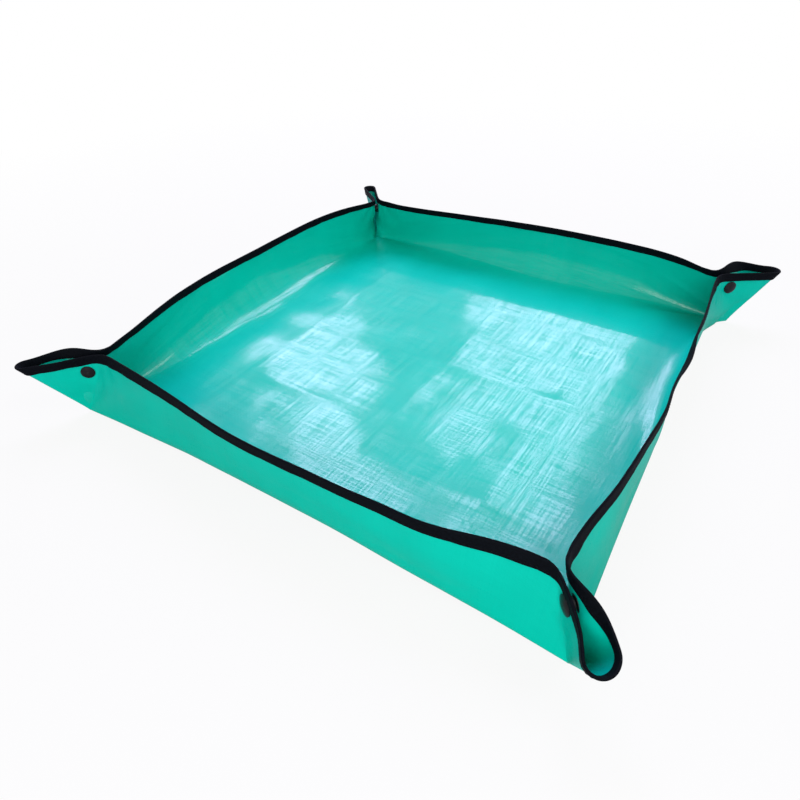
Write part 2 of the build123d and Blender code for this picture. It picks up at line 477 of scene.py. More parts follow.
@dataclass(frozen=True)
class Kink:
    """Local bend of a rim.

    Attributes:
        at: Place along the wall from -1 to 1.
        width: Half its width in the same measure.
        out: Shift outward, in metres.
        up: Shift upward, in metres.
        grip: How closely it keeps to the rim; higher is closer.
    """

    at: float
    width: float
    out: float
    up: float = 0.0
    grip: float = 2.0

    def share(self, places: Array, level: Array) -> Array:
        """How much of the bend shows at places along the wall and shares of its height."""
        return np.exp(-((places - self.at) / self.width) ** 2) * level ** self.grip


@dataclass(frozen=True)
class StorageFold:
    """Crease left in the floor from folding the sheet away.

    Attributes:
        axis: Axis that it crosses.
        place: Where it crosses that axis, in metres.
        rise: Its height, in metres.
        reach: How far its slopes reach, in metres.
        span: Its two ends along the other axis, in metres.
        crest: How round its crest is, in metres.
        fade: Length over which it dies away at its ends, in metres.
    """

    axis: int
    place: float
    rise: float
    reach: float
    span: Span = (-0.30, 0.30)
    crest: float = 0.0012
    fade: float = 0.05

    def height(self, x: Array, y: Array) -> Array:
        """Height of the crease at places on the floor.

        Args:
            x: Places along the x axis, in metres.
            y: Places along the y axis, in metres.

        Returns:
            The heights, in metres.
        """
        across, along = (x, y) if self.axis == 0 else (y, x)
        ridge = np.exp(-np.sqrt((across - self.place) ** 2 + self.crest ** 2) / self.reach)
        first = smoothstep((along - self.span[0]) / self.fade)
        last = smoothstep((self.span[1] - along) / self.fade)
        return self.rise * ridge * (first * last)


@dataclass(frozen=True)
class FloorRelief:
    """Undulations and storage folds of the floor.

    Attributes:
        ripples: Undulations.
        folds: Storage folds.
    """

    ripples: tuple[Ripple, ...] = (
        Ripple(3, (0.110, 0.110), 0.0046),
        Ripple(7, (0.090, 0.040), 0.0020),
        Ripple(11, (0.040, 0.090), 0.0020),
        Ripple(19, (0.023, 0.023), 0.0004),
    )
    folds: tuple[StorageFold, ...] = (
        StorageFold(0, 0.154, 0.0020, 0.016, (-0.30, 0.06)),
        StorageFold(1, -0.003, 0.0016, 0.016, (-0.03, 0.20)),
        StorageFold(1, -0.128, 0.0012, 0.012, (-0.17, -0.01)),
        StorageFold(0, 0.018, 0.0014, 0.030, (-0.22, 0.12)),
        StorageFold(0, -0.165, 0.0010, 0.024),
        StorageFold(1, 0.163, 0.0009, 0.024),
        StorageFold(1, -0.172, 0.0008, 0.020, (0.02, 0.30)),
    )

    def height(self, x: Array, y: Array) -> Array:
        """Height of the floor over its lowest level at places on it."""
        waves = sum(ripple.at(x, y) for ripple in self.ripples)
        return waves + sum(fold.height(x, y) for fold in self.folds)


@dataclass
class SheetPiece:
    """One piece of the sheet as a mesh in the making.

    Attributes:
        name: Name of the piece.
        points: Its vertices.
        faces: Its quads.
        flat: Place of each vertex on the flat sheet, in metres.
        normals: Its vertex normals, shared with the neighbouring pieces.
    """

    name: str
    points: Array
    faces: Array
    flat: Array
    normals: Array = field(default_factory=lambda: np.zeros((0, 3)))

    def make(self, material: bpy.types.Material) -> bpy.types.Object:
        """Make the Blender object of this piece with a material.

        Args:
            material: The material.

        Returns:
            The object.
        """
        mesh = bpy.data.meshes.new(self.name)
        mesh.from_pydata(self.points.tolist(), [], self.faces.tolist())
        mesh.polygons.foreach_set("use_smooth", [True] * len(mesh.polygons))
        place = mesh.attributes.new("flat", "FLOAT_VECTOR", "POINT")
        spread = np.zeros((len(self.points), 3))
        spread[:, :2] = self.flat
        place.data.foreach_set("vector", spread.ravel())
        mesh.materials.append(material)
        mesh.update()
        if len(self.normals):
            mesh.normals_split_custom_set_from_vertices(self.normals.tolist())
        LOG.info("%s: %d faces", self.name, len(mesh.polygons))
        return add_object(self.name, mesh)


def share_normals(pieces: list[SheetPiece]) -> None:
    """Give pieces vertex normals that agree where they meet.

    Args:
        pieces: Pieces whose edges meet.
    """
    everything = np.concatenate([piece.points for piece in pieces])
    places = np.round(everything * MICRONS_PER_METRE).astype(np.int64)
    _, index = np.unique(places, axis=0, return_inverse=True)
    index = index.ravel()
    total = np.zeros((index.max() + 1, 3))
    start = 0
    for piece in pieces:
        corners = piece.points[piece.faces]
        facing = np.cross(corners[:, 2] - corners[:, 0], corners[:, 3] - corners[:, 1])
        for corner in range(4):
            np.add.at(total, index[start + piece.faces[:, corner]], facing)
        start += len(piece.points)
    normals = unit(total)
    start = 0
    for piece in pieces:
        piece.normals = normals[index[start:start + len(piece.points)]]
        start += len(piece.points)


@dataclass(frozen=True)
class WallForm:
    """Shape of one wall between its pinches.

    Attributes:
        leans: Angles of the wall to the floor at even places between its pinches, in degrees.
        bend: Lengths of the soft fold at the wall's middle, over the floor and up the wall, in metres.
        growth: How late the soft fold grows away from the wall's ends; higher is later.
        skew: How much longer the soft fold gets towards the right-hand end, as a share.
        inset: How far the wall's foot is drawn in, in metres.
        kinks: Local bends of the rim.
        pinch_lean: Angle of the wall to the floor at a pinch, in degrees.
        lean_reach: Places either side of the middle between which the leans are smoothed.
        lean_points: Points at which they are smoothed.
        lean_window: Points over which they are smoothed.
        rim_hold: How near its pinches the rim keeps its own shape; higher is nearer.
        foot_hold: How near its ends the wall's foot stays drawn in; higher is nearer.
    """

    leans: tuple[float, ...]
    bend: Span
    growth: float = 0.7
    skew: float = 0.0
    inset: float = 0.0
    kinks: tuple[Kink, ...] = ()
    pinch_lean: float = 108.0
    lean_reach: float = 1.3
    lean_points: int = 521
    lean_window: int = 41
    rim_hold: int = 12
    foot_hold: int = 8

    def rim_shift(self, places: Array, slant: float) -> tuple[Array, Array]:
        """Shift of the rim from the straight line between the pinches.

        Args:
            places: Places along the wall from -1 to 1.
            slant: Length of the wall from floor to rim, in metres.

        Returns:
            The shift outward and the shift upward, in metres.
        """
        leans = (self.pinch_lean, *self.leans, self.pinch_lean)
        knots = np.linspace(-1.0, 1.0, len(leans))
        fine = np.linspace(-self.lean_reach, self.lean_reach, self.lean_points)
        weights = np.hanning(self.lean_window)
        smooth = np.convolve(np.interp(fine, knots, leans), weights / weights.sum(), "same")
        lean = np.radians(np.interp(places, fine, smooth))
        end = math.radians(self.pinch_lean)
        ends = 1 - places ** self.rim_hold
        out = slant * (np.cos(lean) - math.cos(end)) * ends
        up = slant * (np.sin(lean) - math.sin(end)) * ends
        return out, up

    def drawn_in(self, places: Array) -> Array:
        """How far the wall's foot is drawn in at places along it."""
        return self.inset * (1 + self.skew * places) * (1 - places ** self.foot_hold)

    def bend_length(self, places: Array, least: float) -> Array:
        """Length of the soft fold over the floor at places along it, from a least length at its ends."""
        spare = (self.bend[0] - least) * (1 + self.skew * places)
        return least + spare * (1 - places ** 2) ** self.growth


@dataclass(frozen=True)
class Draws:
    """Fan of draws in the sheet that runs out from a pinch.

    Attributes:
        height: Height of a draw over and under the sheet, in metres.
        waves: Waves of the fan in a full turn.
        step: Turn of the waves from one wall to the next.
        over: Height of the fan's centre over the rim, in metres.
        least: Least distance along the wall that counts, in metres.
        start: Distance from the pinch over which the draws set in, in metres.
        fade: Distance over which they die away, in metres.
    """

    height: float = 0.0007
    waves: float = 9.0
    step: float = 0.8
    over: float = 0.006
    least: float = 1e-4
    start: float = 0.03
    fade: float = 0.045

    def at(self, away: Array, down: Array, wall: Wall, side: float) -> Array:
        """Heights of the draws.

        Args:
            away: Distances from the pinch along the wall, in metres.
            down: Distances below the rim, in metres.
            wall: The wall.
            side: 1 at its right-hand end and -1 at its left-hand end.

        Returns:
            The heights, in metres.
        """
        reach = np.hypot(away, down + self.over)
        fan = np.arctan2(down + self.over, np.maximum(away, self.least))
        draw = np.cos(self.waves * fan + self.step * wall.value + side)
        shown = np.exp(-reach / self.fade) * smoothstep(reach / self.start) * (away > 0)
        return self.height * draw * shown


@dataclass
class WallSheet:
    """A wall with its floor strip and its two ear flaps.

    Attributes:
        wall: Which wall it is.
        plan: Sizes of the folded sheet.
        relief: Undulations of the floor.
        form: Shape of the wall.
        right_ear: Ear at the right-hand end.
        left_ear: Ear at the left-hand end.
        ripples: Undulations of the wall.
        draws: Draws at its pinches.
        tip_calm: Share of an ear's length at its tip that undulates less.
        foot_calm: Share of the height at the foot that undulates less.
        snap_calm: Distance round a stud that undulates less, in metres.
        fold_calm: Length from which the soft fold undulates fully, in metres.
        relief_fade: Share of the soft fold over which the floor's undulation dies away.
        relief_edge: Distance from the wall over which the floor's undulation sets in, in metres.
        upper: Points from the soft fold to the rim, with those of the flaps.
        lower: Points of the floor strip and the soft fold.
        normals: Outward normals at the upper points.
        bend_length: Length of the soft fold over the floor at each column, in metres.
        across: Places of the upper points along the flat sheet, in metres.
        share: Shares of the height of the upper points.
        left_end: Column of the left-hand crease.
        right_end: Column of the right-hand crease.
    """

    wall: Wall
    plan: Plan
    relief: FloorRelief
    form: WallForm
    right_ear: Ear
    left_ear: Ear
    ripples: tuple[Ripple, ...] = (Ripple(31, (0.085, 0.060), 0.0024), Ripple(37, (0.034, 0.034), 0.0006))
    draws: Draws = Draws()
    tip_calm: float = 0.25
    foot_calm: float = 0.3
    snap_calm: float = 0.016
    fold_calm: float = 0.03
    relief_fade: float = 0.6
    relief_edge: float = 0.012
    upper: Array = field(init=False, repr=False)
    lower: Array = field(init=False, repr=False)
    normals: Array = field(init=False, repr=False)
    bend_length: Array = field(init=False, repr=False)
    across: Array = field(init=False, repr=False)
    share: Array = field(init=False, repr=False)
    left_end: int = field(init=False)
    right_end: int = field(init=False)

    def __post_init__(self) -> None:
        """Work out the grids of points."""
        self.shape_upper()
        self.shape_lower()

    @property
    def spans(self) -> tuple[tuple[int, int], ...]:
        """First and last column of the wall, of its right-hand flap and of its left-hand flap."""
        last = self.upper.shape[1] - 1
        return (self.left_end, self.right_end), (self.right_end, last), (0, self.left_end)

    def at(self, places: Array, share: Array) -> Array:
        """Points of the wall as for the front.

        Args:
            places: Places along the wall from -1 to 1.
            share: Shares of the wall's height from 0 to 1.

        Returns:
            The points, before undulation.
        """
        edge = self.plan.crease(share)
        out, up = self.form.rim_shift(places, self.plan.slant)
        out = out * share - self.form.drawn_in(places) * (1 - share)
        up = up * share
        for kink in self.form.kinks:
            out = out + kink.out * kink.share(places, share)
            up = up + kink.up * kink.share(places, share)
        return np.stack([places * edge[..., 0], edge[..., 1] - out, edge[..., 2] + up], axis=-1)

    def shape_upper(self) -> None:
        """Work out the points of the wall over its soft fold, with the flaps at both ends."""
        plan = self.plan
        places = plan.spread()
        self.bend_length = self.form.bend_length(places, plan.least_bend)
        climb = self.bend_length * self.form.bend[1] / self.form.bend[0]
        foot = self.at(places, np.zeros_like(places))
        top = self.at(places, np.ones_like(places))
        bend_share = climb / np.linalg.norm(top - foot, axis=-1)
        rows = np.linspace(0.0, 1.0, plan.rows)
        share = bend_share + (1 - bend_share) * rows[:, None]
        middle = self.at(np.broadcast_to(places, share.shape), share)
        flaps = FlapForm(plan)
        right, right_run = flaps.points(self.right_ear, self.right_ear.cap_side, share[:, -1])
        left, left_run = flaps.points(self.left_ear, self.left_ear.stud_side, share[:, 0])
        left = left[:, ::-1] * np.array([-1.0, 1.0, 1.0])
        self.upper = np.concatenate([left[:, :-1], middle, right[:, 1:]], axis=1)
        ends = plan.ear_columns - 1
        self.left_end = ends
        self.right_end = ends + plan.columns - 1
        self.across = np.concatenate([
            middle[:, :1, 0] - left_run[:, :0:-1],
            middle[:, :, 0],
            middle[:, -1:, 0] + right_run[:, 1:],
        ], axis=1)
        self.share = np.concatenate([
            np.repeat(share[:, :1], ends, axis=1),
            share,
            np.repeat(share[:, -1:], ends, axis=1),
        ], axis=1)

    def snap_centres(self) -> list[Array]:
        """Middles of the stud parts on the right-hand and left-hand flap, as for the front.

        Returns:
            The two middles.
        """
        centres = []
        for corner, part in ((self.wall.right_corner, "cap"), (self.wall.left_corner, "post")):
            low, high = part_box(f"{corner}_snap_{part}")
            centres.append(self.wall.undone.turned((low + high) / 2))
        return centres

    def waves(self, across: Array, climb: Array) -> Array:
        """Heights of the undulations, over and under 0, at places on the flat sheet as for the front."""
        turned = self.wall.turned(np.stack(np.broadcast_arrays(across, -climb), axis=-1))
        return sum(ripple.at(turned[..., 0], turned[..., 1]) - ripple.height / 2 for ripple in self.ripples)

    def undulate(self) -> None:
        """Add the sheet's undulations and the draws that run out from the pinches."""
        plan = self.plan
        wave = self.waves(self.across, plan.floor_half + self.share * plan.slant)
        for end, side in ((self.left_end, -1.0), (self.right_end, 1.0)):
            away = side * (self.across[-1, end] - self.across)
            wave = wave + self.draws.at(away, (1 - self.share) * plan.slant, self.wall, side)
        columns = np.arange(self.upper.shape[1])
        from_tip = np.minimum(columns, columns[::-1]) / (plan.ear_columns - 1)
        rows = np.linspace(0.0, 1.0, plan.rows)[:, None]
        calm = smoothstep(from_tip / self.tip_calm) * smoothstep(rows / self.foot_calm)
        outward = grid_normals(self.upper)
        for centre in self.snap_centres():
            calm = calm * clear_of(self.upper, centre, self.snap_calm)
        self.upper = self.upper + outward * (wave * calm)[..., None]
        self.normals = grid_normals(self.upper)
        self.undulate_fold()

    def undulate_fold(self) -> None:
        """Add the sheet's undulations to the soft fold, which stays as it is at both of its edges."""
        plan = self.plan
        fold = self.lower[plan.strip_rows:]
        turn = np.linspace(0.0, 1.0, plan.bend_rows + 1)[1:-1, None]
        wave = self.waves(fold[..., 0], plan.floor_half + (2 * turn - 1) * self.bend_length)
        calm = np.sin(math.pi * turn) ** 2 * smoothstep(self.bend_length / self.fold_calm)
        fold += grid_normals(self.lower)[plan.strip_rows:] * (wave * calm)[..., None]

    def shape_lower(self) -> None:
        """Work out the points of the floor strip and the soft fold."""
        plan = self.plan
        places = plan.spread()
        inner = plan.floor_half - plan.strip
        foot = plan.floor_half - self.form.drawn_in(places)
        edge = foot - self.bend_length
        steps = np.linspace(0.0, 1.0, plan.strip_rows)[:, None]
        out = inner + (edge - inner) * steps
        strip = np.stack([places * out, -out, np.full_like(out, plan.level)], axis=-1)
        start = strip[-1]
        control = np.stack([places * plan.floor_half, -foot, np.full_like(places, plan.level)], axis=-1)
        finish = self.upper[0, self.left_end:self.right_end + 1]
        turn = np.linspace(0.0, 1.0, plan.bend_rows + 1)[1:, None, None]
        leave = start + plan.ease * (control - start)
        join = finish + plan.ease * (control - finish)
        ends = (1 - turn) ** 3 * start + turn ** 3 * finish
        fold = ends + 3 * turn * (1 - turn) * ((1 - turn) * leave + turn * join)
        self.lower = np.concatenate([strip, fold[:-1]])
        world = self.wall.turned(self.lower)
        lift = self.relief.height(world[..., 0], world[..., 1])
        fade = 1 - smoothstep(turn[:-1, 0, 0] / self.relief_fade)
        keep = np.concatenate([np.ones(plan.strip_rows), fade])[:, None]
        corner = smoothstep((plan.floor_half + self.lower[..., 1]) / self.relief_edge)
        self.lower[..., 2] += lift * keep * corner

    def piece(self, name: str, points: Array, flat: Array) -> SheetPiece:
        """A piece of the sheet from a grid of points and their places on the flat sheet.

        Args:
            name: Name of the piece.
            points: Rows by columns by 3 coordinates, as for the front.
            flat: Places of the points on the flat sheet, as for the front.

        Returns:
            The piece, turned to this wall.
        """
        rows, columns = points.shape[:2]
        turned_points = self.wall.turned(points).reshape(-1, 3)
        turned_flat = self.wall.turned(flat).reshape(-1, 2)
        return SheetPiece(name, turned_points, grid_faces(rows, columns), turned_flat)

    def sheet_pieces(self) -> tuple[SheetPiece, ...]:
        """The wall with its floor strip, the right-hand flap and the left-hand flap.

        Returns:
            The three pieces.
        """
        left, right = self.left_end, self.right_end
        body = np.concatenate([self.lower, self.upper[:, left:right + 1]])
        climb = run_along(body) + self.plan.floor_half - self.plan.strip
        names = self.wall.piece_names("wall", "sheet")
        made = [self.piece(names[0], body, np.stack([body[..., 0], -climb], axis=-1))]
        for name, columns, crease in ((names[1], slice(right, None), -1), (names[2], slice(0, left + 1), 0)):
            across = self.across[:, columns]
            level = np.broadcast_to(climb[len(self.lower):, [crease]], across.shape)
            made.append(self.piece(name, self.upper[:, columns], np.stack([across, -level], axis=-1)))
        return tuple(made)


@dataclass(frozen=True)
class Stitch:
    """Stitches of the binding's seam.

    Attributes:
        pitch: Distance from one stitch to the next, in metres.
        lead: Distance from a seam's start to its first stitch, as a share of the pitch.
        length: Length of a stitch, in metres.
        row: Depth of the seam as a share of the tape's.
        arch: Height of a stitch's middle over its ends, in metres.
        sink: How far its ends lie in the tape, in metres.
        thick: Half the width of its thread, in metres.
        squash: Height of its thread as a share of the width.
        sides: Sides of its thread.
        profile: Places along a stitch and its girth there, as shares.
    """

    pitch: float = 0.004
    lead: float = 0.2
    length: float = 0.0026
    row: float = 0.78
    arch: float = 0.00022
    sink: float = 0.00005
    thick: float = 0.00027
    squash: float = 0.6
    sides: int = 6
    profile: tuple[Span, ...] = ((0.0, 0.25), (0.12, 0.8), (0.5, 1.0), (0.88, 0.8), (1.0, 0.25))


@dataclass
class RimBinding:
    """Folded tape on the rim of a wall and its flaps, with its stitches.

    Attributes:
        sheet: The wall with its flaps.
        cover: Share of the wall's slant that the tape covers.
        inner: Depth of the tape's inner face as a share of its outer face's.
        stand: Distance of the tape's faces from the sheet's middle, in metres.
        depths: Depths of points round the outer half of the tape, as shares of its cover.
        distances: Distances of the same points from the sheet, as shares of the stand.
        seed: Seed of the tape's unevenness at the front.
        cell: Size of a cell of that unevenness, in metres.
        waver: How much the tape's edges waver, as a share of its depth.
        waver_apart: Distance between the unevenness of the tape's two edges, in metres.
        pucker: How much the tape's faces pucker, as a share of their distance.
        pucker_rate: How much closer together puckers lie than waves of the edges.
        pucker_stretch: Length of the unevenness that the wall's whole slant takes up, in metres.
        pucker_apart: Distance between the unevenness of the tape's two faces, in metres.
        end_calm: Length at a rim's ends over which the tape gets even, in metres.
        rows: Rows of the sheet under the tape that set its direction.
        passes: Passes that smooth its normals.
        stitch: Stitches of its seam.
        rim: Points of the rim.
        ruling: Direction up the sheet at each, as long as the whole slant.
        outward: Outward normals there.
        run: Length along the rim there, in metres.
    """

    sheet: WallSheet
    cover: float = 10.0 / 72.0
    inner: float = 0.8
    stand: float = 0.00115
    depths: tuple[float, ...] = (1.0, 0.985, 0.93, 0.75, 0.5, 0.25, 0.08, -0.02, -0.065, -0.085)
    distances: tuple[float, ...] = (0.3, 0.75, 1.0, 1.05, 1.0, 1.02, 1.0, 0.86, 0.5, 0.0)
    seed: int = 23
    cell: Span = (0.014, 0.005)
    waver: float = 0.10
    waver_apart: float = 0.05
    pucker: float = 0.22
    pucker_rate: float = 3.1
    pucker_stretch: float = 0.5
    pucker_apart: float = 0.02
    end_calm: float = 0.02
    rows: int = 6
    passes: int = 4
    stitch: Stitch = Stitch()
    rim: Array = field(init=False, repr=False)
    ruling: Array = field(init=False, repr=False)
    outward: Array = field(init=False, repr=False)
    run: Array = field(init=False, repr=False)

    def __post_init__(self) -> None:
        """Work out the rim's points and directions."""
        upper, share = self.sheet.upper, self.sheet.share
        self.rim = upper[-1]
        drop = share[-1] - share[-self.rows]
        self.ruling = (self.rim - upper[-self.rows]) / drop[:, None]
        outward = self.sheet.normals[-self.rows:].mean(axis=0)
        for _ in range(self.passes):
            outward[1:-1] = (outward[:-2] + 2 * outward[1:-1] + outward[2:]) / 4
        self.outward = unit(outward)
        self.run = run_along(self.rim)

    def section(self) -> tuple[Array, Array]:
        """Depth down the sheet, as a share of its slant, and distance from it round the folded tape.

        Returns:
            Depth and distance, for each point of the section by each place along the rim.
        """
        run = self.run
        depth = np.array(self.depths)
        distance = np.array(self.distances)
        inner = np.where(depth > 0, self.inner * depth, depth)
        depth = np.concatenate([depth, inner[-2::-1]])[:, None] * self.cover
        distance = np.concatenate([distance, -distance[-2::-1]])[:, None] * self.stand
        side = np.sign(distance)
        ends = smoothstep(np.minimum(run, run[-1] - run) / self.end_calm)
        uneven = Ripple(self.seed + self.sheet.wall.value, self.cell, 1.0)
        middle = uneven.height / 2
        edge = uneven.at(run[None, :], side * self.waver_apart + 0 * run) - middle
        depth = depth * (1 + self.waver * edge * ends)
        down = depth * self.pucker_stretch + side * self.pucker_apart
        face = uneven.at(self.pucker_rate * run[None, :], down) - middle
        distance = distance * (1 + self.pucker * face * ends)
        return depth, distance

    def tape_pieces(self) -> tuple[SheetPiece, ...]:
        """Tape on the wall's rim, on the right-hand flap and on the left-hand flap.

        Returns:
            The three pieces.
        """
        wall = self.sheet.wall
        depth, distance = self.section()
        points = self.rim - depth[..., None] * self.ruling + distance[..., None] * self.outward
        around = run_along(points[:, 0])
        flat = np.stack(np.broadcast_arrays(self.run[None, :], around[:, None]), axis=-1)
        made = []
        for name, (first, last) in zip(wall.piece_names("rim", "tape"), self.sheet.spans):
            part = points[:, first:last + 1]
            faces = grid_faces(*part.shape[:2])[:, ::-1]
            places = flat[:, first:last + 1].reshape(-1, 2)
            made.append(SheetPiece(name, wall.turned(part).reshape(-1, 3), faces, places))
        return tuple(made)

    def stitch_pieces(self) -> tuple[SheetPiece, ...]:
        """Stitches through the tape of the wall and of its two flaps.

        Returns:
            The three pieces.
        """
        wall, stitch, run = self.sheet.wall, self.stitch, self.run
        ring = np.linspace(0.0, 2 * math.pi, stitch.sides + 1)[:-1]
        shape = (len(stitch.profile), stitch.sides)
        made = []
        for name, (first, last) in zip(wall.piece_names("rim", "stitches"), self.sheet.spans):
            points, faces, flat = [], [], []
            low = run[first] + (stitch.pitch if first == 0 else 0.0)
            high = run[last] - (stitch.pitch if last == len(run) - 1 else 0.0)
            starts = low + stitch.pitch * (np.arange(int((high - low) / stitch.pitch)) + stitch.lead)
            for side in (1.0, -1.0):
                for start in starts:
                    index = len(points) * stitch.sides + np.arange(shape[0] * shape[1]).reshape(shape)
                    after = np.roll(index, -1, axis=1)
                    quads = np.stack([index[:-1], after[:-1], after[1:], index[1:]], axis=-1)
                    faces.append(quads.reshape(-1, 4))
                    for step, girth in stitch.profile:
                        place = start + step * stitch.length
                        points.append(self.stitch_ring(place, step, girth, side, ring))
                        flat.append(np.full((stitch.sides, 2), place))
            turned = wall.turned(np.concatenate(points))
            made.append(SheetPiece(name, turned, np.concatenate(faces), np.concatenate(flat)))
        return tuple(made)

    def stitch_ring(self, place: float, step: float, girth: float, side: float, ring: Array) -> Array:
        """Points round a stitch's thread.

        Args:
            place: Length along the rim, in metres.
            step: Place along the stitch from 0 to 1.
            girth: Its girth there, as a share.
            side: 1 on the outer face and -1 on the inner face.
            ring: Angles of the points.

        Returns:
            The points.
        """
        stitch = self.stitch
        spot, up, out = self.on_rim(place)
        arch = stitch.arch * (1 - 4 * (step - 0.5) ** 2)
        depth = stitch.row * self.cover * (1.0 if side > 0 else self.inner)
        spot = spot - depth * up + side * (self.stand - stitch.sink + arch) * out
        circle = np.cos(ring)[:, None] * unit(up) + stitch.squash * np.sin(ring)[:, None] * out
        return spot + stitch.thick * girth * circle

    def on_rim(self, place: float) -> tuple[Array, Array, Array]:
        """Rim point, direction up the sheet and outward normal at a length along the rim.

        Args:
            place: Length along the rim, in metres.

        Returns:
            The point, the direction and the normal.
        """
        def read(values: Array) -> Array:
            """Values at the place, axis by axis."""
            return np.array([np.interp(place, self.run, values[:, axis]) for axis in range(3)])

        return read(self.rim), read(self.ruling), unit(read(self.outward))


@dataclass
class CornerRound:
    """Rounds the sheet where two walls meet at an ear.

    Attributes:
        first: Wall whose right-hand end is at the corner.
        second: Wall whose left-hand end is at the corner.
        least: Spread of the rounding at the creases, in metres.
        least_span: Share of the height over which that spread sets in.
        sharp: Spread at the floor of a corner without a pocket, in metres.
        pocket: How much wider the spread is there with a full pocket, in metres.
        pocket_rise: Share of the height that a pocket takes, as a multiple of the ear's softness.
        finest: Least spread of all, in metres.
        span: How far from a crease it reaches along a wall, in metres.
        root: How far from the floor corner it sets in, in metres.
        step: Distance between the points that are smoothed, in metres.
        kernel: Spreads that the smoothing reaches to either side.
        crease_reach: Spreads over which the rounding dies away round a crease.
        snap_clear: Distance round a stud that is rounded less, in metres.
        tip_clear: Share of an ear's outline, either side of its tip, that is rounded less.
    """

    first: WallSheet
    second: WallSheet
    least: float = 0.0070
    least_span: float = 0.6
    sharp: float = 0.001
    pocket: float = 0.036
    pocket_rise: float = 1.5
    finest: float = 0.0002
    span: float = 0.075
    root: float = 0.015
    step: float = 0.0005
    kernel: int = 3
    crease_reach: float = 4.0
    snap_clear: float = 0.0125
    tip_clear: float = 0.24

    def apply(self) -> None:
        """Round every row of both walls' points."""
        plan = self.first.plan
        soft = self.first.right_ear.soft
        deep = self.sharp + self.pocket * soft
        middle = self.first.upper.shape[1] // 2
        half = plan.columns // 2
        for row in range(len(self.first.lower)):
            strip = min(row / (plan.strip_rows - 1), 1.0)
            spread = deep * strip ** 2
            if spread > 0:
                self.round_row(self.first.lower[row, half:], self.second.lower[row, :half + 1], spread, 1.0)
        for row in range(plan.rows):
            level = self.first.share[row, -1]
            low = float(1 - smoothstep(level / (self.pocket_rise * soft)))
            least = self.least * float(smoothstep(level / self.least_span))
            spread = max(least, deep * low, self.finest)
            self.round_row(self.first.upper[row, middle:], self.second.upper[row, :middle + 1], spread, low)

    def round_row(self, right: Array, left: Array, spread: float, low: float) -> None:
        """Round one row through the corner, in place.

        Args:
            right: Points of the first wall from its middle to the corner.
            left: Points of the second wall from the corner to its middle.
            spread: Spread of the rounding, in metres.
            low: How much of the ear itself is rounded away.
        """
        plan = self.first.plan
        count = len(right)
        turned = Wall.RIGHT.turned(left)
        joint = (right[-1] + turned[0]) / 2
        path = np.concatenate([right[:-1], joint[None], turned[1:]])
        run = run_along(path)
        even = np.arange(0.0, run[-1], self.step)
        reach = int(self.kernel * spread / self.step) + 1
        kernel = np.exp(-0.5 * (np.arange(-reach, reach + 1) * self.step / spread) ** 2)
        kernel /= kernel.sum()
        smooth = np.empty_like(path)
        for axis in range(3):
            line = np.interp(even, run, path[:, axis])
            padded = np.concatenate([np.full(reach, line[0]), line, np.full(reach, line[-1])])
            smooth[:, axis] = np.interp(run, even, np.convolve(padded, kernel, "valid"))
        ear = plan.ear_columns - 1 if count > plan.columns // 2 + 1 else 0
        creases = run[count - 1 - ear], run[count - 1 + ear]
        away = np.maximum(np.maximum(creases[0] - run, run - creases[1]), 0.0)
        near = sum(np.exp(-((run - crease) / (self.crease_reach * spread)) ** 2) for crease in creases)
        share = np.maximum(low, np.minimum(near, 1.0)) * smoothstep(1 - away / self.span)
        for snap in (self.first.snap_centres()[0], Wall.RIGHT.turned(self.second.snap_centres()[1])):
            share = share * clear_of(path, snap, self.snap_clear)
        share = share * smoothstep(np.linalg.norm(path - plan.root_point, axis=-1) / self.root)
        if ear:
            outline = creases[1] - creases[0]
            share = share * smoothstep(np.abs(run - run[count - 1]) / (self.tip_clear * outline))
        path = path + share[:, None] * (smooth - path)
        right[:] = path[:count]
        left[:] = Wall.LEFT.turned(path[count - 1:])


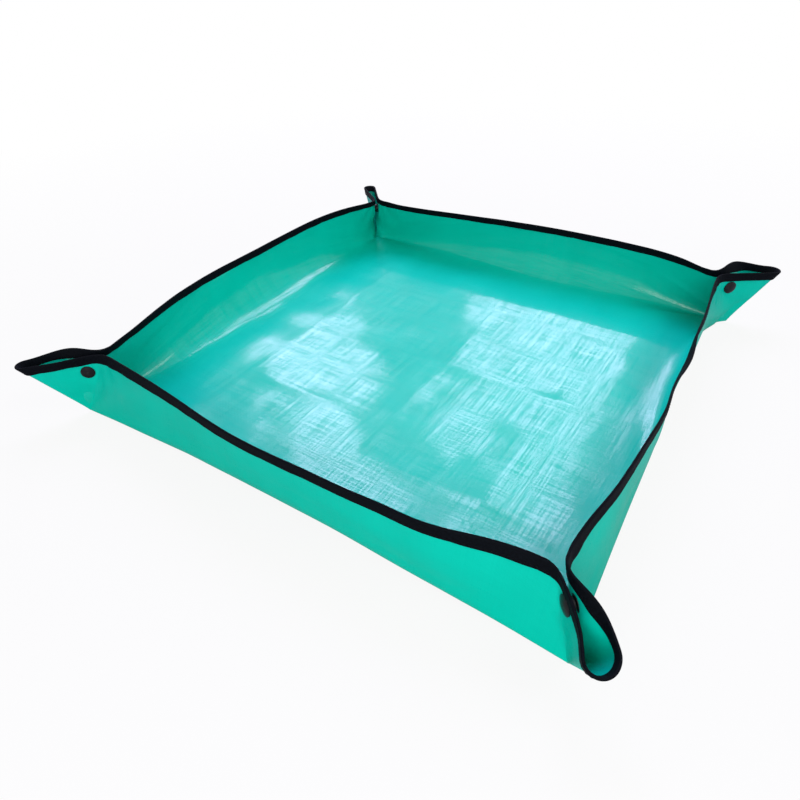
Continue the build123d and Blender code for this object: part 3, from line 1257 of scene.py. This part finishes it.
class NodeBench:
    """Adds and links the nodes of one node tree."""

    def __init__(self, tree: bpy.types.NodeTree) -> None:
        """Take the tree to work on."""
        self.tree = tree

    def add(self, kind: str, **settings: object) -> bpy.types.Node:
        """Add a node.

        Args:
            kind: Blender's name of the node type.
            settings: Attributes of the node.

        Returns:
            The node.
        """
        node = self.tree.nodes.new(kind)
        for name, value in settings.items():
            setattr(node, name, value)
        return node

    def put(self, target: Socket, value: object) -> None:
        """Link a socket to a target, or set the target's own value.

        Args:
            target: Input to link or set.
            value: Socket to link, or value to set.
        """
        if isinstance(value, Socket):
            self.tree.links.new(value, target)
        else:
            target.default_value = value

    def fill(self, node: bpy.types.Node, values: dict[str, object]) -> None:
        """Link or set several of a node's inputs by name."""
        for name, value in values.items():
            self.put(node.inputs[name], value)

    def math(self, operation: str, *values: object) -> Socket:
        """Result of a Math node.

        Args:
            operation: Blender's name of the operation.
            values: Sockets or values of its inputs.

        Returns:
            The result.
        """
        node = self.add("ShaderNodeMath", operation=operation)
        for socket, value in zip(node.inputs, values):
            self.put(socket, value)
        return node.outputs[0]

    def weigh(self, first: object, share: float, second: object) -> Socket:
        """Sum of a share of one value and the rest of another."""
        return self.math("ADD", self.math("MULTIPLY", first, share), self.math("MULTIPLY", second, 1 - share))

    def stretch(self, place: object, scale: Point) -> Socket:
        """Coordinates multiplied axis by axis.

        Args:
            place: The coordinates.
            scale: Factor along each axis.

        Returns:
            The multiplied coordinates.
        """
        node = self.add("ShaderNodeVectorMath", operation="MULTIPLY")
        self.put(node.inputs[0], place)
        self.put(node.inputs[1], scale)
        return node.outputs[0]

    def noise(self, place: object, scale: float, detail: float = 2.0, rough: float = 0.5) -> Socket:
        """Value of a Noise Texture node.

        Args:
            place: The coordinates.
            scale: Scale of the noise.
            detail: How many finer layers it has.
            rough: How much the finer layers count.

        Returns:
            The value.
        """
        node = self.add("ShaderNodeTexNoise")
        self.fill(node, {"Vector": place, "Scale": scale, "Detail": detail, "Roughness": rough})
        return node.outputs["Fac"]

    def streaks(self, place: object, scale: Point, detail: float = 2.0, rough: float = 0.5) -> Socket:
        """Value of a noise with its own scale along each axis."""
        return self.noise(self.stretch(place, scale), 1.0, detail, rough)

    def ramp(self, value: object, limits: Span, results: Span = (0.0, 1.0)) -> Socket:
        """Value mapped from one range to another, clamped.

        Args:
            value: The value.
            limits: Range that it is mapped from.
            results: Range that it is mapped to.

        Returns:
            The mapped value.
        """
        node = self.add("ShaderNodeMapRange")
        self.fill(node, {"Value": value, "From Min": limits[0], "From Max": limits[1]})
        self.fill(node, {"To Min": results[0], "To Max": results[1]})
        return node.outputs[0]

    def mix(self, share: object, first: Colour, second: Colour) -> Socket:
        """Mix of two colours.

        Args:
            share: Share of the second colour.
            first: First colour.
            second: Second colour.

        Returns:
            The mixed colour.
        """
        node = self.add("ShaderNodeMix", data_type="RGBA")
        self.put(node.inputs[0], share)
        self.put(node.inputs[6], (*first, 1.0))
        self.put(node.inputs[7], (*second, 1.0))
        return node.outputs[2]

    def bump(self, height: object, distance: float, strength: float, normal: object = None) -> Socket:
        """Normal from a Bump node.

        Args:
            height: Height as a share.
            distance: Full height, in metres.
            strength: Strength of the effect.
            normal: Normal to start from, if any.

        Returns:
            The normal.
        """
        node = self.add("ShaderNodeBump")
        self.fill(node, {"Strength": strength, "Distance": distance, "Height": height})
        if normal is not None:
            self.put(node.inputs["Normal"], normal)
        return node.outputs["Normal"]

    def mirrored(self, path: bpy.types.Node) -> Socket:
        """1 on rays that reflect or pass through and 0 on others, from a Light Path node."""
        return self.math("MAXIMUM", path.outputs["Is Glossy Ray"], path.outputs["Is Transmission Ray"])


class EffectGroup:
    """A shader node group that several finishes share."""

    def __init__(self, name: str, outputs: tuple[str, ...]) -> None:
        """Make the group with a Place input and value outputs.

        Args:
            name: Name of the group.
            outputs: Names of its outputs.
        """
        self.tree = bpy.data.node_groups.new(name, "ShaderNodeTree")
        self.tree.interface.new_socket("Place", in_out="INPUT", socket_type="NodeSocketVector")
        for output in outputs:
            self.tree.interface.new_socket(output, in_out="OUTPUT", socket_type="NodeSocketFloat")
        self.bench = NodeBench(self.tree)
        self.place = self.bench.add("NodeGroupInput").outputs["Place"]
        self.end = self.bench.add("NodeGroupOutput")

    def give(self, output: str, value: Socket) -> None:
        """Link a value to one of the outputs."""
        self.bench.put(self.end.inputs[output], value)

    def use(self, bench: NodeBench, place: Socket) -> bpy.types.Node:
        """Add the group to a material's tree and give it its coordinates.

        Args:
            bench: Bench of the material's tree.
            place: The coordinates.

        Returns:
            The group's node.
        """
        node = bench.add("ShaderNodeGroup", node_tree=self.tree)
        bench.put(node.inputs["Place"], place)
        return node


def weave_group() -> EffectGroup:
    """Flat woven tapes under a coating: their relief, slubs along both sides and blotches.

    Returns:
        The group.
    """
    group = EffectGroup("woven_tapes", ("Relief", "Slubs", "Blotches"))
    bench, place = group.bench, group.place
    pitch = 0.0022
    crossing_height = 0.07
    split = bench.add("ShaderNodeSeparateXYZ")
    bench.put(split.inputs[0], bench.stretch(place, (math.pi / pitch, math.pi / pitch, 0.0)))
    crossing = bench.math("MULTIPLY", *(bench.math("SINE", split.outputs[axis]) for axis in range(2)))
    warp = bench.streaks(place, scale=(640.0, 15.0, 1.0), detail=3.0, rough=0.65)
    weft = bench.streaks(place, scale=(17.0, 700.0, 1.0), detail=3.0, rough=0.65)
    slubs = bench.weigh(warp, 0.5, weft)
    wide = bench.streaks(place, scale=(34.0, 11.0, 1.0))
    tall = bench.streaks(place, scale=(11.0, 36.0, 1.0))
    group.give("Relief", bench.math("ADD", bench.math("MULTIPLY", crossing, crossing_height), slubs))
    group.give("Slubs", slubs)
    group.give("Blotches", bench.weigh(wide, 0.5, tall))
    return group


def rib_group() -> EffectGroup:
    """Fine cross ribs and nap of a woven binding tape.

    Returns:
        The group.
    """
    group = EffectGroup("tape_ribs", ("Relief", "Nap"))
    bench = group.bench
    pitch = 0.0009
    rib_height = 0.5
    split = bench.add("ShaderNodeSeparateXYZ")
    bench.put(split.inputs[0], bench.stretch(group.place, (2 * math.pi / pitch, 1.0, 1.0)))
    rib = bench.math("MULTIPLY", bench.math("SINE", split.outputs[0]), rib_height)
    nap = bench.streaks(group.place, scale=(420.0, 900.0, 1.0), detail=3.0, rough=0.6)
    group.give("Relief", bench.math("ADD", rib, nap))
    group.give("Nap", nap)
    return group


def scuff_group() -> EffectGroup:
    """Specks and rubbed places on lacquered metal.

    Returns:
        The group.
    """
    group = EffectGroup("scuffs", ("Specks", "Rub"))
    bench = group.bench
    group.give("Specks", bench.noise(group.place, scale=1400.0, detail=3.0, rough=0.6))
    group.give("Rub", bench.noise(group.place, scale=260.0))
    return group


@dataclass(frozen=True)
class Finish:
    """What every finish has.

    Attributes:
        name: Name of the material.
    """

    name: str

    def start(self) -> tuple[bpy.types.Material, NodeBench, bpy.types.Node]:
        """Make the material and return it with its bench and its Principled BSDF.

        Returns:
            The material, its bench and its shader.
        """
        made = bpy.data.materials.new(self.name)
        made.use_nodes = True
        return made, NodeBench(made.node_tree), made.node_tree.nodes["Principled BSDF"]

    @staticmethod
    def flat_place(bench: NodeBench) -> Socket:
        """Place on the flat cloth, in metres."""
        return bench.add("ShaderNodeAttribute", attribute_name="flat").outputs["Vector"]

    @staticmethod
    def object_place(bench: NodeBench) -> Socket:
        """Place in the object's own coordinates, in metres."""
        return bench.add("ShaderNodeTexCoord").outputs["Object"]


@dataclass(frozen=True)
class SheetFinish(Finish):
    """Green woven sheet with a glossy coating.

    Attributes:
        deep: Colour where the tapes lie close.
        pale: Colour where the coating scatters.
        slub_share: Share of the slubs in the colour's changes; the rest are blotches.
        tones: Values between which the colour changes.
        gloss: Roughness of smooth and of rubbed places.
        gloss_slubs: Slubs between which the roughness changes.
        film: Weight of the glossy film inside the tray, between and along the tapes.
        film_slubs: Slubs between which the film changes.
        sag: Height of the relief of blotches, in metres.
        relief: Height of the relief of tapes, in metres.
    """

    deep: Colour = (0.0, 0.455, 0.345)
    pale: Colour = (0.0, 0.515, 0.395)
    slub_share: float = 0.4
    tones: Span = (0.32, 0.68)
    gloss: Span = (0.26, 0.40)
    gloss_slubs: Span = (0.36, 0.64)
    film: Span = (0.06, 0.74)
    film_slubs: Span = (0.43, 0.57)
    sag: float = 0.0013
    relief: float = 0.00022

    def make(self, weave: EffectGroup) -> bpy.types.Material:
        """Make the material from the weave.

        Args:
            weave: The woven tapes.

        Returns:
            The material.
        """
        made, bench, shader = self.start()
        effect = weave.use(bench, self.flat_place(bench))
        slubs, blotches = effect.outputs["Slubs"], effect.outputs["Blotches"]
        tone = bench.ramp(bench.weigh(slubs, self.slub_share, blotches), self.tones)
        sagging = bench.bump(blotches, distance=self.sag, strength=1.0)
        outside = bench.add("ShaderNodeNewGeometry").outputs["Backfacing"]
        film = bench.ramp(slubs, self.film_slubs, self.film)
        bench.fill(shader, {
            "Base Color": bench.mix(tone, self.deep, self.pale),
            "Roughness": bench.ramp(slubs, self.gloss_slubs, self.gloss),
            "Normal": bench.bump(effect.outputs["Relief"], self.relief, strength=0.8, normal=sagging),
            "Specular IOR Level": 0.05,
            "Coat Weight": bench.math("MULTIPLY", film, bench.math("SUBTRACT", 1.0, outside)),
            "Coat Roughness": 0.15,
        })
        return made


@dataclass(frozen=True)
class TapeFinish(Finish):
    """Black woven binding tape with a dull sheen.

    Attributes:
        deep: Colour between the ribs.
        pale: Colour of the nap.
        tones: Nap between which the colour changes.
        rough: Roughness of smooth and of napped places.
        relief: Height of the ribs and nap, in metres.
    """

    deep: Colour = (0.0010, 0.0014, 0.0024)
    pale: Colour = (0.0030, 0.0042, 0.0070)
    tones: Span = (0.35, 0.65)
    rough: Span = (0.50, 0.68)
    relief: float = 0.00012

    def make(self, ribs: EffectGroup) -> bpy.types.Material:
        """Make the material from the ribs.

        Args:
            ribs: Ribs and nap of woven tape.

        Returns:
            The material.
        """
        made, bench, shader = self.start()
        effect = ribs.use(bench, self.flat_place(bench))
        nap = effect.outputs["Nap"]
        bench.fill(shader, {
            "Base Color": bench.mix(bench.ramp(nap, self.tones), self.deep, self.pale),
            "Roughness": bench.ramp(nap, NOISE_RANGE, self.rough),
            "Normal": bench.bump(effect.outputs["Relief"], self.relief, strength=0.7),
            "Specular IOR Level": 0.03,
            "Sheen Weight": 0.006,
            "Sheen Roughness": 0.4,
            "Sheen Tint": (0.55, 0.62, 1.0, 1.0),
        })
        return made


@dataclass(frozen=True)
class ThreadFinish(Finish):
    """Black sewing thread.

    Attributes:
        deep: Darker colour of the thread.
        pale: Lighter colour of the thread.
        rough: Roughness of smooth and of napped places.
        scale: How much finer its nap is than the tape's, along each axis.
    """

    deep: Colour = (0.0010, 0.0013, 0.0020)
    pale: Colour = (0.0040, 0.0048, 0.0065)
    rough: Span = (0.45, 0.6)
    scale: Point = (2.0, 2.0, 2.0)

    def make(self, ribs: EffectGroup) -> bpy.types.Material:
        """Make the material from the ribs.

        Args:
            ribs: Ribs and nap of woven tape.

        Returns:
            The material.
        """
        made, bench, shader = self.start()
        nap = ribs.use(bench, bench.stretch(self.object_place(bench), self.scale)).outputs["Nap"]
        bench.fill(shader, {
            "Base Color": bench.mix(nap, self.deep, self.pale),
            "Roughness": bench.ramp(nap, NOISE_RANGE, self.rough),
            "Specular IOR Level": 0.06,
        })
        return made


@dataclass(frozen=True)
class MetalFinish(Finish):
    """Metal with specks and rubbed places.

    Attributes:
        deep: Colour of untouched places.
        pale: Colour of rubbed places.
        metallic: How metallic it is.
        rough: Roughness of smooth and of rubbed places.
        shine: Level of its clear reflection.
        rubbed: Rub between which the colour changes.
        relief: Height of the specks, in metres.
    """

    deep: Colour
    pale: Colour
    metallic: float
    rough: Span
    shine: float
    rubbed: Span = (0.52, 0.78)
    relief: float = 0.00003

    def make(self, scuffs: EffectGroup) -> bpy.types.Material:
        """Make the material from the scuffs.

        Args:
            scuffs: Specks and rubbed places.

        Returns:
            The material.
        """
        made, bench, shader = self.start()
        effect = scuffs.use(bench, self.object_place(bench))
        specks = effect.outputs["Specks"]
        bench.fill(shader, {
            "Base Color": bench.mix(bench.ramp(effect.outputs["Rub"], self.rubbed), self.deep, self.pale),
            "Roughness": bench.ramp(specks, NOISE_RANGE, self.rough),
            "Normal": bench.bump(specks, self.relief, strength=0.5),
            "Metallic": self.metallic,
            "Specular IOR Level": self.shine,
        })
        return made


@dataclass(frozen=True)
class GroundFinish(Finish):
    """Pale ground that stays white to the camera away from the object and keeps its shadow.

    Attributes:
        albedo: Grey level of the ground.
        glow: Share of the camera's view of the ground that is plain white.
        clear: Distances from the middle between which the ground turns plain white, in metres.
    """

    albedo: float = 0.55
    glow: float = 0.90
    clear: Span = (0.45, 1.3)

    def make(self) -> bpy.types.Material:
        """Make the material.

        Returns:
            The material.
        """
        made, bench, shader = self.start()
        grey = (self.albedo, self.albedo, self.albedo, 1.0)
        bench.fill(shader, {"Base Color": grey, "Roughness": 0.9, "Specular IOR Level": 0.0})
        glow = bench.add("ShaderNodeEmission")
        path = bench.add("ShaderNodeLightPath")
        distance = bench.add("ShaderNodeVectorMath", operation="LENGTH")
        bench.put(distance.inputs[0], self.object_place(bench))
        far = bench.ramp(distance.outputs["Value"], self.clear)
        close = bench.ramp(far, (0.0, 1.0), (self.glow, 1.0))
        direct = bench.math("MULTIPLY", path.outputs["Is Camera Ray"], close)
        seen = bench.math("MAXIMUM", direct, bench.math("MULTIPLY", bench.mirrored(path), far))
        blend = bench.add("ShaderNodeMixShader")
        bench.put(blend.inputs[0], seen)
        bench.put(blend.inputs[1], shader.outputs[0])
        bench.put(blend.inputs[2], glow.outputs[0])
        bench.put(made.node_tree.nodes["Material Output"].inputs["Surface"], blend.outputs[0])
        return made


@dataclass
class TraySheet:
    """The whole sheet with its tape and stitches, as pieces; the floor and the walls' tape and stitches ride
    on the CAD bodies.

    Attributes:
        plan: Sizes of the folded sheet.
        relief: Undulations of the floor.
        walls: The four walls.
        cloth: Material of the sheet.
        tape: Material of the tape.
        thread: Material of the stitches.
        fold_reach: Distance from a wall's fold at which its blend would start and end, in metres; no blend is
            made, so it is not used.
        crease_reach: Distances from a floor corner at which a flap's blend would start and end, in metres; no
            blend is made, so it is not used.
        crease_soft: How much later that blend would start at an ear with a full pocket, in metres; not used.
    """

    plan: Plan
    relief: FloorRelief
    walls: list[WallSheet]
    cloth: bpy.types.Material
    tape: bpy.types.Material
    thread: bpy.types.Material
    fold_reach: float = 0.004
    crease_reach: Span = (0.002, 0.006)
    crease_soft: float = 0.0018

    def floor_piece(self) -> SheetPiece:
        """Middle of the floor.

        Returns:
            The piece.
        """
        side = self.plan.spread() * (self.plan.floor_half - self.plan.strip)
        x, y = np.meshgrid(side, -side)
        points = np.stack([x, y, self.plan.level + self.relief.height(x, y)], axis=-1)
        count = len(side)
        flat = np.stack([x, y], axis=-1).reshape(-1, 2)
        return SheetPiece("floor_sheet", points.reshape(-1, 3), grid_faces(count, count), flat)

    def build(self) -> None:
        floor = self.floor_piece()
        sheets = [wall.sheet_pieces() for wall in self.walls]
        bindings = [RimBinding(wall) for wall in self.walls]
        tapes = [binding.tape_pieces() for binding in bindings]
        stitches = [binding.stitch_pieces() for binding in bindings]
        share_normals([floor, *(piece for group in sheets for piece in group)])
        share_normals([piece for group in tapes for piece in group])
        middle = floor.make(self.cloth)
        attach(middle, "floor")
        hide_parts("floor_panel")
        for wall, sheet, tape, stitch in zip(self.walls, sheets, tapes, stitches):
            self.dress_wall(wall, sheet[0], tape[0], stitch[0])
            for number, corner in ((1, wall.wall.right_corner), (2, wall.wall.left_corner)):
                self.dress_flap(wall, corner, sheet[number], tape[number], stitch[number])

    def dress_wall(self, wall: WallSheet, sheet: SheetPiece, tape: SheetPiece, stitch: SheetPiece) -> None:
        """Make a wall's pieces, hang its tape and stitches on the wall's body and hide the CAD panel and
        binding.

        Args:
            wall: The wall.
            sheet: Its sheet with the floor strip.
            tape: Tape on its rim.
            stitch: Stitches of the tape.
        """
        label = wall.wall.label
        cloth = sheet.make(self.cloth)
        hinge = np.array([0.0, -self.plan.floor_half, 0.0])
        start = wall.wall.turned(hinge + np.array([0.0, self.fold_reach, 0.0]))
        end = wall.wall.turned(hinge + np.array([0.0, 0.0, self.fold_reach]))
        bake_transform(cloth)
        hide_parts(f"{label}_wall_panel")
        edging = tape.make(self.tape)
        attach(edging, f"{label}_wall")
        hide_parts(f"{label}_rim_binding")
        seam = stitch.make(self.thread)
        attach(seam, f"{label}_wall")

    def dress_flap(self, wall: WallSheet, corner: str, sheet: SheetPiece, tape: SheetPiece,
                   stitch: SheetPiece) -> None:
        """Make a flap's pieces in place and hide the CAD flap and binding.

        Args:
            wall: The wall that the flap belongs to.
            corner: Name of its corner.
            sheet: Its sheet.
            tape: Tape on its rim.
            stitch: Stitches of the tape.
        """
        plan = self.plan
        label = wall.wall.label
        on_right = corner == wall.wall.right_corner
        ear = wall.right_ear if on_right else wall.left_ear
        flip = np.array([1.0 if on_right else -1.0, 1.0, 1.0])
        first = self.crease_reach[0] + self.crease_soft * ear.soft
        start = wall.wall.turned((plan.root_point + first * plan.ear_square) * flip)
        end = wall.wall.turned((plan.root_point + self.crease_reach[1] * plan.ear_square) * flip)
        made = [sheet.make(self.cloth), tape.make(self.tape), stitch.make(self.thread)]
        for piece in made:
            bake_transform(piece)
        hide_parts(f"{corner}_ear_{label}_flap")
        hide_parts(f"{corner}_ear_{label}_binding")


@dataclass
class PressStuds:
    """The press-studs, which stay as the CAD nodes and get finishes.

    Attributes:
        lacquer: Material of caps, sockets, studs and posts.
        steel: Material of the ring springs.
    """

    lacquer: bpy.types.Material
    steel: bpy.types.Material

    def dress(self) -> None:
        """Give each stud's nodes their materials."""
        for corner in CORNERS:
            for part in ("cap", "socket", "spring", "stud", "post"):
                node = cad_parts[f"{corner}_snap_{part}"]
                material = self.steel if part == "spring" else self.lacquer
                if not node.material_slots:
                    node.data.materials.append(material)
                for slot in node.material_slots:
                    slot.material = material
            LOG.info("%s_snap: dressed", corner)


@dataclass(frozen=True)
class Softbox:
    """A rectangular soft light.

    Attributes:
        name: Name of the light.
        place: Where it hangs, in metres.
        aim: Where it points.
        size: Its two sides, in metres.
        power: Its power in watts.
        colour: Its colour.
    """

    name: str
    place: Point
    aim: Point
    size: Span
    power: float
    colour: Colour = (1.0, 1.0, 1.0)

    def hang(self) -> None:
        """Add the light to the scene."""
        light = bpy.data.lights.new(self.name, "AREA")
        light.shape = "RECTANGLE"
        light.size, light.size_y = self.size
        light.energy = self.power
        light.color = self.colour
        made = add_object(self.name, light)
        made.location = self.place
        made.rotation_euler = (Vector(self.aim) - Vector(self.place)).to_track_quat("-Z", "Y").to_euler()


@dataclass(frozen=True)
class Viewpoint:
    """The photograph's camera.

    Attributes:
        place: Where it stands, in metres.
        azimuth: Angle of its view from +Y towards +X, in degrees.
        elevation: Angle of its view below the horizon, in degrees.
        roll: Turn about its view, in degrees.
        focal: Focal length in picture widths.
        sensor: Width of its sensor, in millimetres.
        near: Nearest distance that it sees, in metres.
    """

    place: Point = (0.30379, -0.5156, 0.41116)
    azimuth: float = -34.304
    elevation: float = 37.912
    roll: float = -1.846
    focal: float = 620.31 / 800.0
    sensor: float = 36.0
    near: float = 0.01

    def make(self) -> None:
        """Add the camera and make it the scene's own."""
        azimuth, elevation, roll = (math.radians(x) for x in (self.azimuth, self.elevation, self.roll))
        level = math.cos(elevation)
        forward = Vector((math.sin(azimuth) * level, math.cos(azimuth) * level, -math.sin(elevation)))
        right = forward.cross(Vector((0.0, 0.0, 1.0))).normalized()
        up = right.cross(forward)
        tilted_right = right * math.cos(roll) + up * math.sin(roll)
        tilted_up = up * math.cos(roll) - right * math.sin(roll)
        lens = bpy.data.cameras.new("photo_camera")
        lens.sensor_width = self.sensor
        lens.lens = self.sensor * self.focal
        lens.clip_start = self.near
        made = add_object("photo_camera", lens)
        turn = Matrix((tilted_right, tilted_up, -forward)).transposed()
        made.matrix_world = Matrix.Translation(self.place) @ turn.to_4x4()
        bpy.context.scene.camera = made


@dataclass
class Studio:
    """Ground, lights, background and camera.

    Attributes:
        boxes: The soft lights.
        ambient: Strength of the plain light from all round.
        rings: Rings of the ground.
        spokes: Points round a ring.
        radius: Radius of the ground, in metres.
        crowding: How much closer together its rings lie near the object; 1 is even.
        drop: How far the ground lies under the tray, in metres.
    """

    boxes: tuple[Softbox, ...] = (
        Softbox("left_window", (-1.367, 1.252, 1.823), (0.0, 0.0, 0.0), (0.62, 1.44), 27.0, WINDOW_TINT),
        Softbox("right_window", (-0.495, 1.786, 1.823), (0.0, 0.0, 0.0), (0.88, 1.44), 32.0, WINDOW_TINT),
        Softbox("front", (0.55, -1.25, 0.6), (0.15, -0.25, 0.03), (1.0, 0.8), 14.0, (1.0, 1.0, 0.98)),
        Softbox("side", (1.7, 0.3, 1.8), (0.0, 0.0, 0.03), (1.2, 1.0), 18.0),
    )
    ambient: float = 0.30
    rings: int = 24
    spokes: int = 72
    radius: float = 40.0
    crowding: int = 3
    drop: float = 0.0002

    def build(self) -> None:
        """Add everything round the object."""
        self.lay_ground()
        self.set_world()
        for box in self.boxes:
            box.hang()
        Viewpoint().make()
        bpy.context.scene.view_settings.view_transform = "Standard"

    def lay_ground(self) -> None:
        """Add the ground as a level disc with finer rings near the object."""
        points = [(0.0, 0.0, -self.drop)]
        for ring in range(1, self.rings + 1):
            radius = self.radius * (ring / self.rings) ** self.crowding
            for spoke in range(self.spokes):
                turn = 2 * math.pi * spoke / self.spokes
                points.append((radius * math.cos(turn), radius * math.sin(turn), -self.drop))
        faces = [(0, 1 + spoke, 1 + (spoke + 1) % self.spokes) for spoke in range(self.spokes)]
        for ring in range(self.rings - 1):
            low = 1 + ring * self.spokes
            high = low + self.spokes
            for spoke in range(self.spokes):
                after = (spoke + 1) % self.spokes
                faces.append((low + spoke, high + spoke, high + after, low + after))
        mesh = bpy.data.meshes.new("ground")
        mesh.from_pydata(points, [], faces)
        mesh.materials.append(GroundFinish("ground").make())
        ground = add_object("ground", mesh)

    def set_world(self) -> None:
        """Make a plain white background and a soft light from all round."""
        world = bpy.data.worlds.new("studio")
        bpy.context.scene.world = world
        world.use_nodes = True
        bench = NodeBench(world.node_tree)
        path = bench.add("ShaderNodeLightPath")
        seen = bench.math("MAXIMUM", path.outputs["Is Camera Ray"], bench.mirrored(path))
        strength = bench.math("MULTIPLY_ADD", seen, 1.0 - self.ambient, self.ambient)
        bench.fill(world.node_tree.nodes["Background"], {"Color": (1.0, 1.0, 1.0, 1.0), "Strength": strength})


def tray_walls(plan: Plan, relief: FloorRelief) -> list[WallSheet]:
    """The four walls as the photograph shows them.

    Args:
        plan: Sizes of the folded sheet.
        relief: Undulations of the floor.

    Returns:
        The walls in the order of quarter turns.
    """
    ears = {
        "front_right": Ear(
            end_round=0.0120,
            cap_side=Swell(bulge=-0.0030, flat=0.024),
            stud_side=Swell(bulge=0.0065, flat=0.006),
            pull=(-0.0097, -0.0144),
            soft=0.05,
        ),
        "back_right": Ear(
            end_round=0.0075,
            cap_side=Swell(bulge=0.0, flat=0.020),
            stud_side=Swell(bulge=0.0110, flat=0.006, lift=0.006),
            pull=(0.0004, -0.0017),
            soft=0.55,
        ),
        "back_left": Ear(
            end_round=0.0080,
            cap_side=Swell(bulge=0.0, flat=0.016),
            stud_side=Swell(bulge=0.0, flat=0.016),
            pull=(0.0001, -0.0021),
            soft=0.60,
        ),
        "front_left": Ear(
            end_round=0.0070,
            cap_side=Swell(bulge=0.0085, flat=0.010, lift=0.0035),
            stud_side=Swell(bulge=0.0020, flat=0.016),
            pull=(0.0019, 0.0002),
            soft=0.07,
        ),
    }
    forms = {
        Wall.FRONT: WallForm(
            leans=(106, 101.5, 96, 91.7, 89.1, 87.9, 88.1, 88.2, 90.6, 92.7, 103.2),
            bend=(0.024, 0.024),
            growth=1.0,
            kinks=(Kink(at=0.58, width=0.07, out=0.002, up=0.001),),
        ),
        Wall.RIGHT: WallForm(
            leans=(106.6, 101.6, 98.2, 96.3, 96.5, 101, 106.5, 103.5, 101, 102.7, 105.4),
            bend=(0.031, 0.031),
            skew=1.0,
            inset=0.009,
            kinks=(Kink(at=0.20, width=0.17, out=0.011, up=-0.006, grip=5.0),),
        ),
        Wall.BACK: WallForm(
            leans=(97.3, 91.2, 89, 89.1, 90, 92.3, 95.9, 100.4, 104, 107, 109),
            bend=(0.062, 0.066),
        ),
        Wall.LEFT: WallForm(
            leans=(97.7, 89.5, 84, 82.5, 82.5, 82.5, 82.5, 83, 87, 94.1, 102),
            bend=(0.058, 0.064),
        ),
    }
    walls = [
        WallSheet(wall, plan, relief, form, ears[wall.right_corner], ears[wall.left_corner])
        for wall, form in forms.items()
    ]
    for wall in walls:
        CornerRound(wall, walls[(wall.wall.value + 1) % len(walls)]).apply()
    for wall in walls:
        wall.undulate()
    return walls


def main() -> None:
    """Build the looks of the tray."""
    logging.basicConfig(level=logging.INFO, format="%(message)s")
    plan = Plan()
    relief = FloorRelief()
    weave, ribs, scuffs = weave_group(), rib_group(), scuff_group()
    cloth = SheetFinish("coated_sheet").make(weave)
    tape = TapeFinish("edge_binding").make(ribs)
    thread = ThreadFinish("seam_thread").make(ribs)
    lacquer = MetalFinish(
        "black_lacquer",
        deep=(0.004, 0.004, 0.005),
        pale=(0.014, 0.014, 0.016),
        metallic=0.0,
        rough=(0.26, 0.38),
        shine=0.2,
    )
    steel = MetalFinish(
        "spring_steel",
        deep=(0.50, 0.50, 0.51),
        pale=(0.62, 0.62, 0.63),
        metallic=1.0,
        rough=(0.25, 0.38),
        shine=0.5,
    )
    TraySheet(plan, relief, tray_walls(plan, relief), cloth, tape, thread).build()
    PressStuds(lacquer.make(scuffs), steel.make(scuffs)).dress()
    Studio().build()


if __name__ == "__main__":
    main()
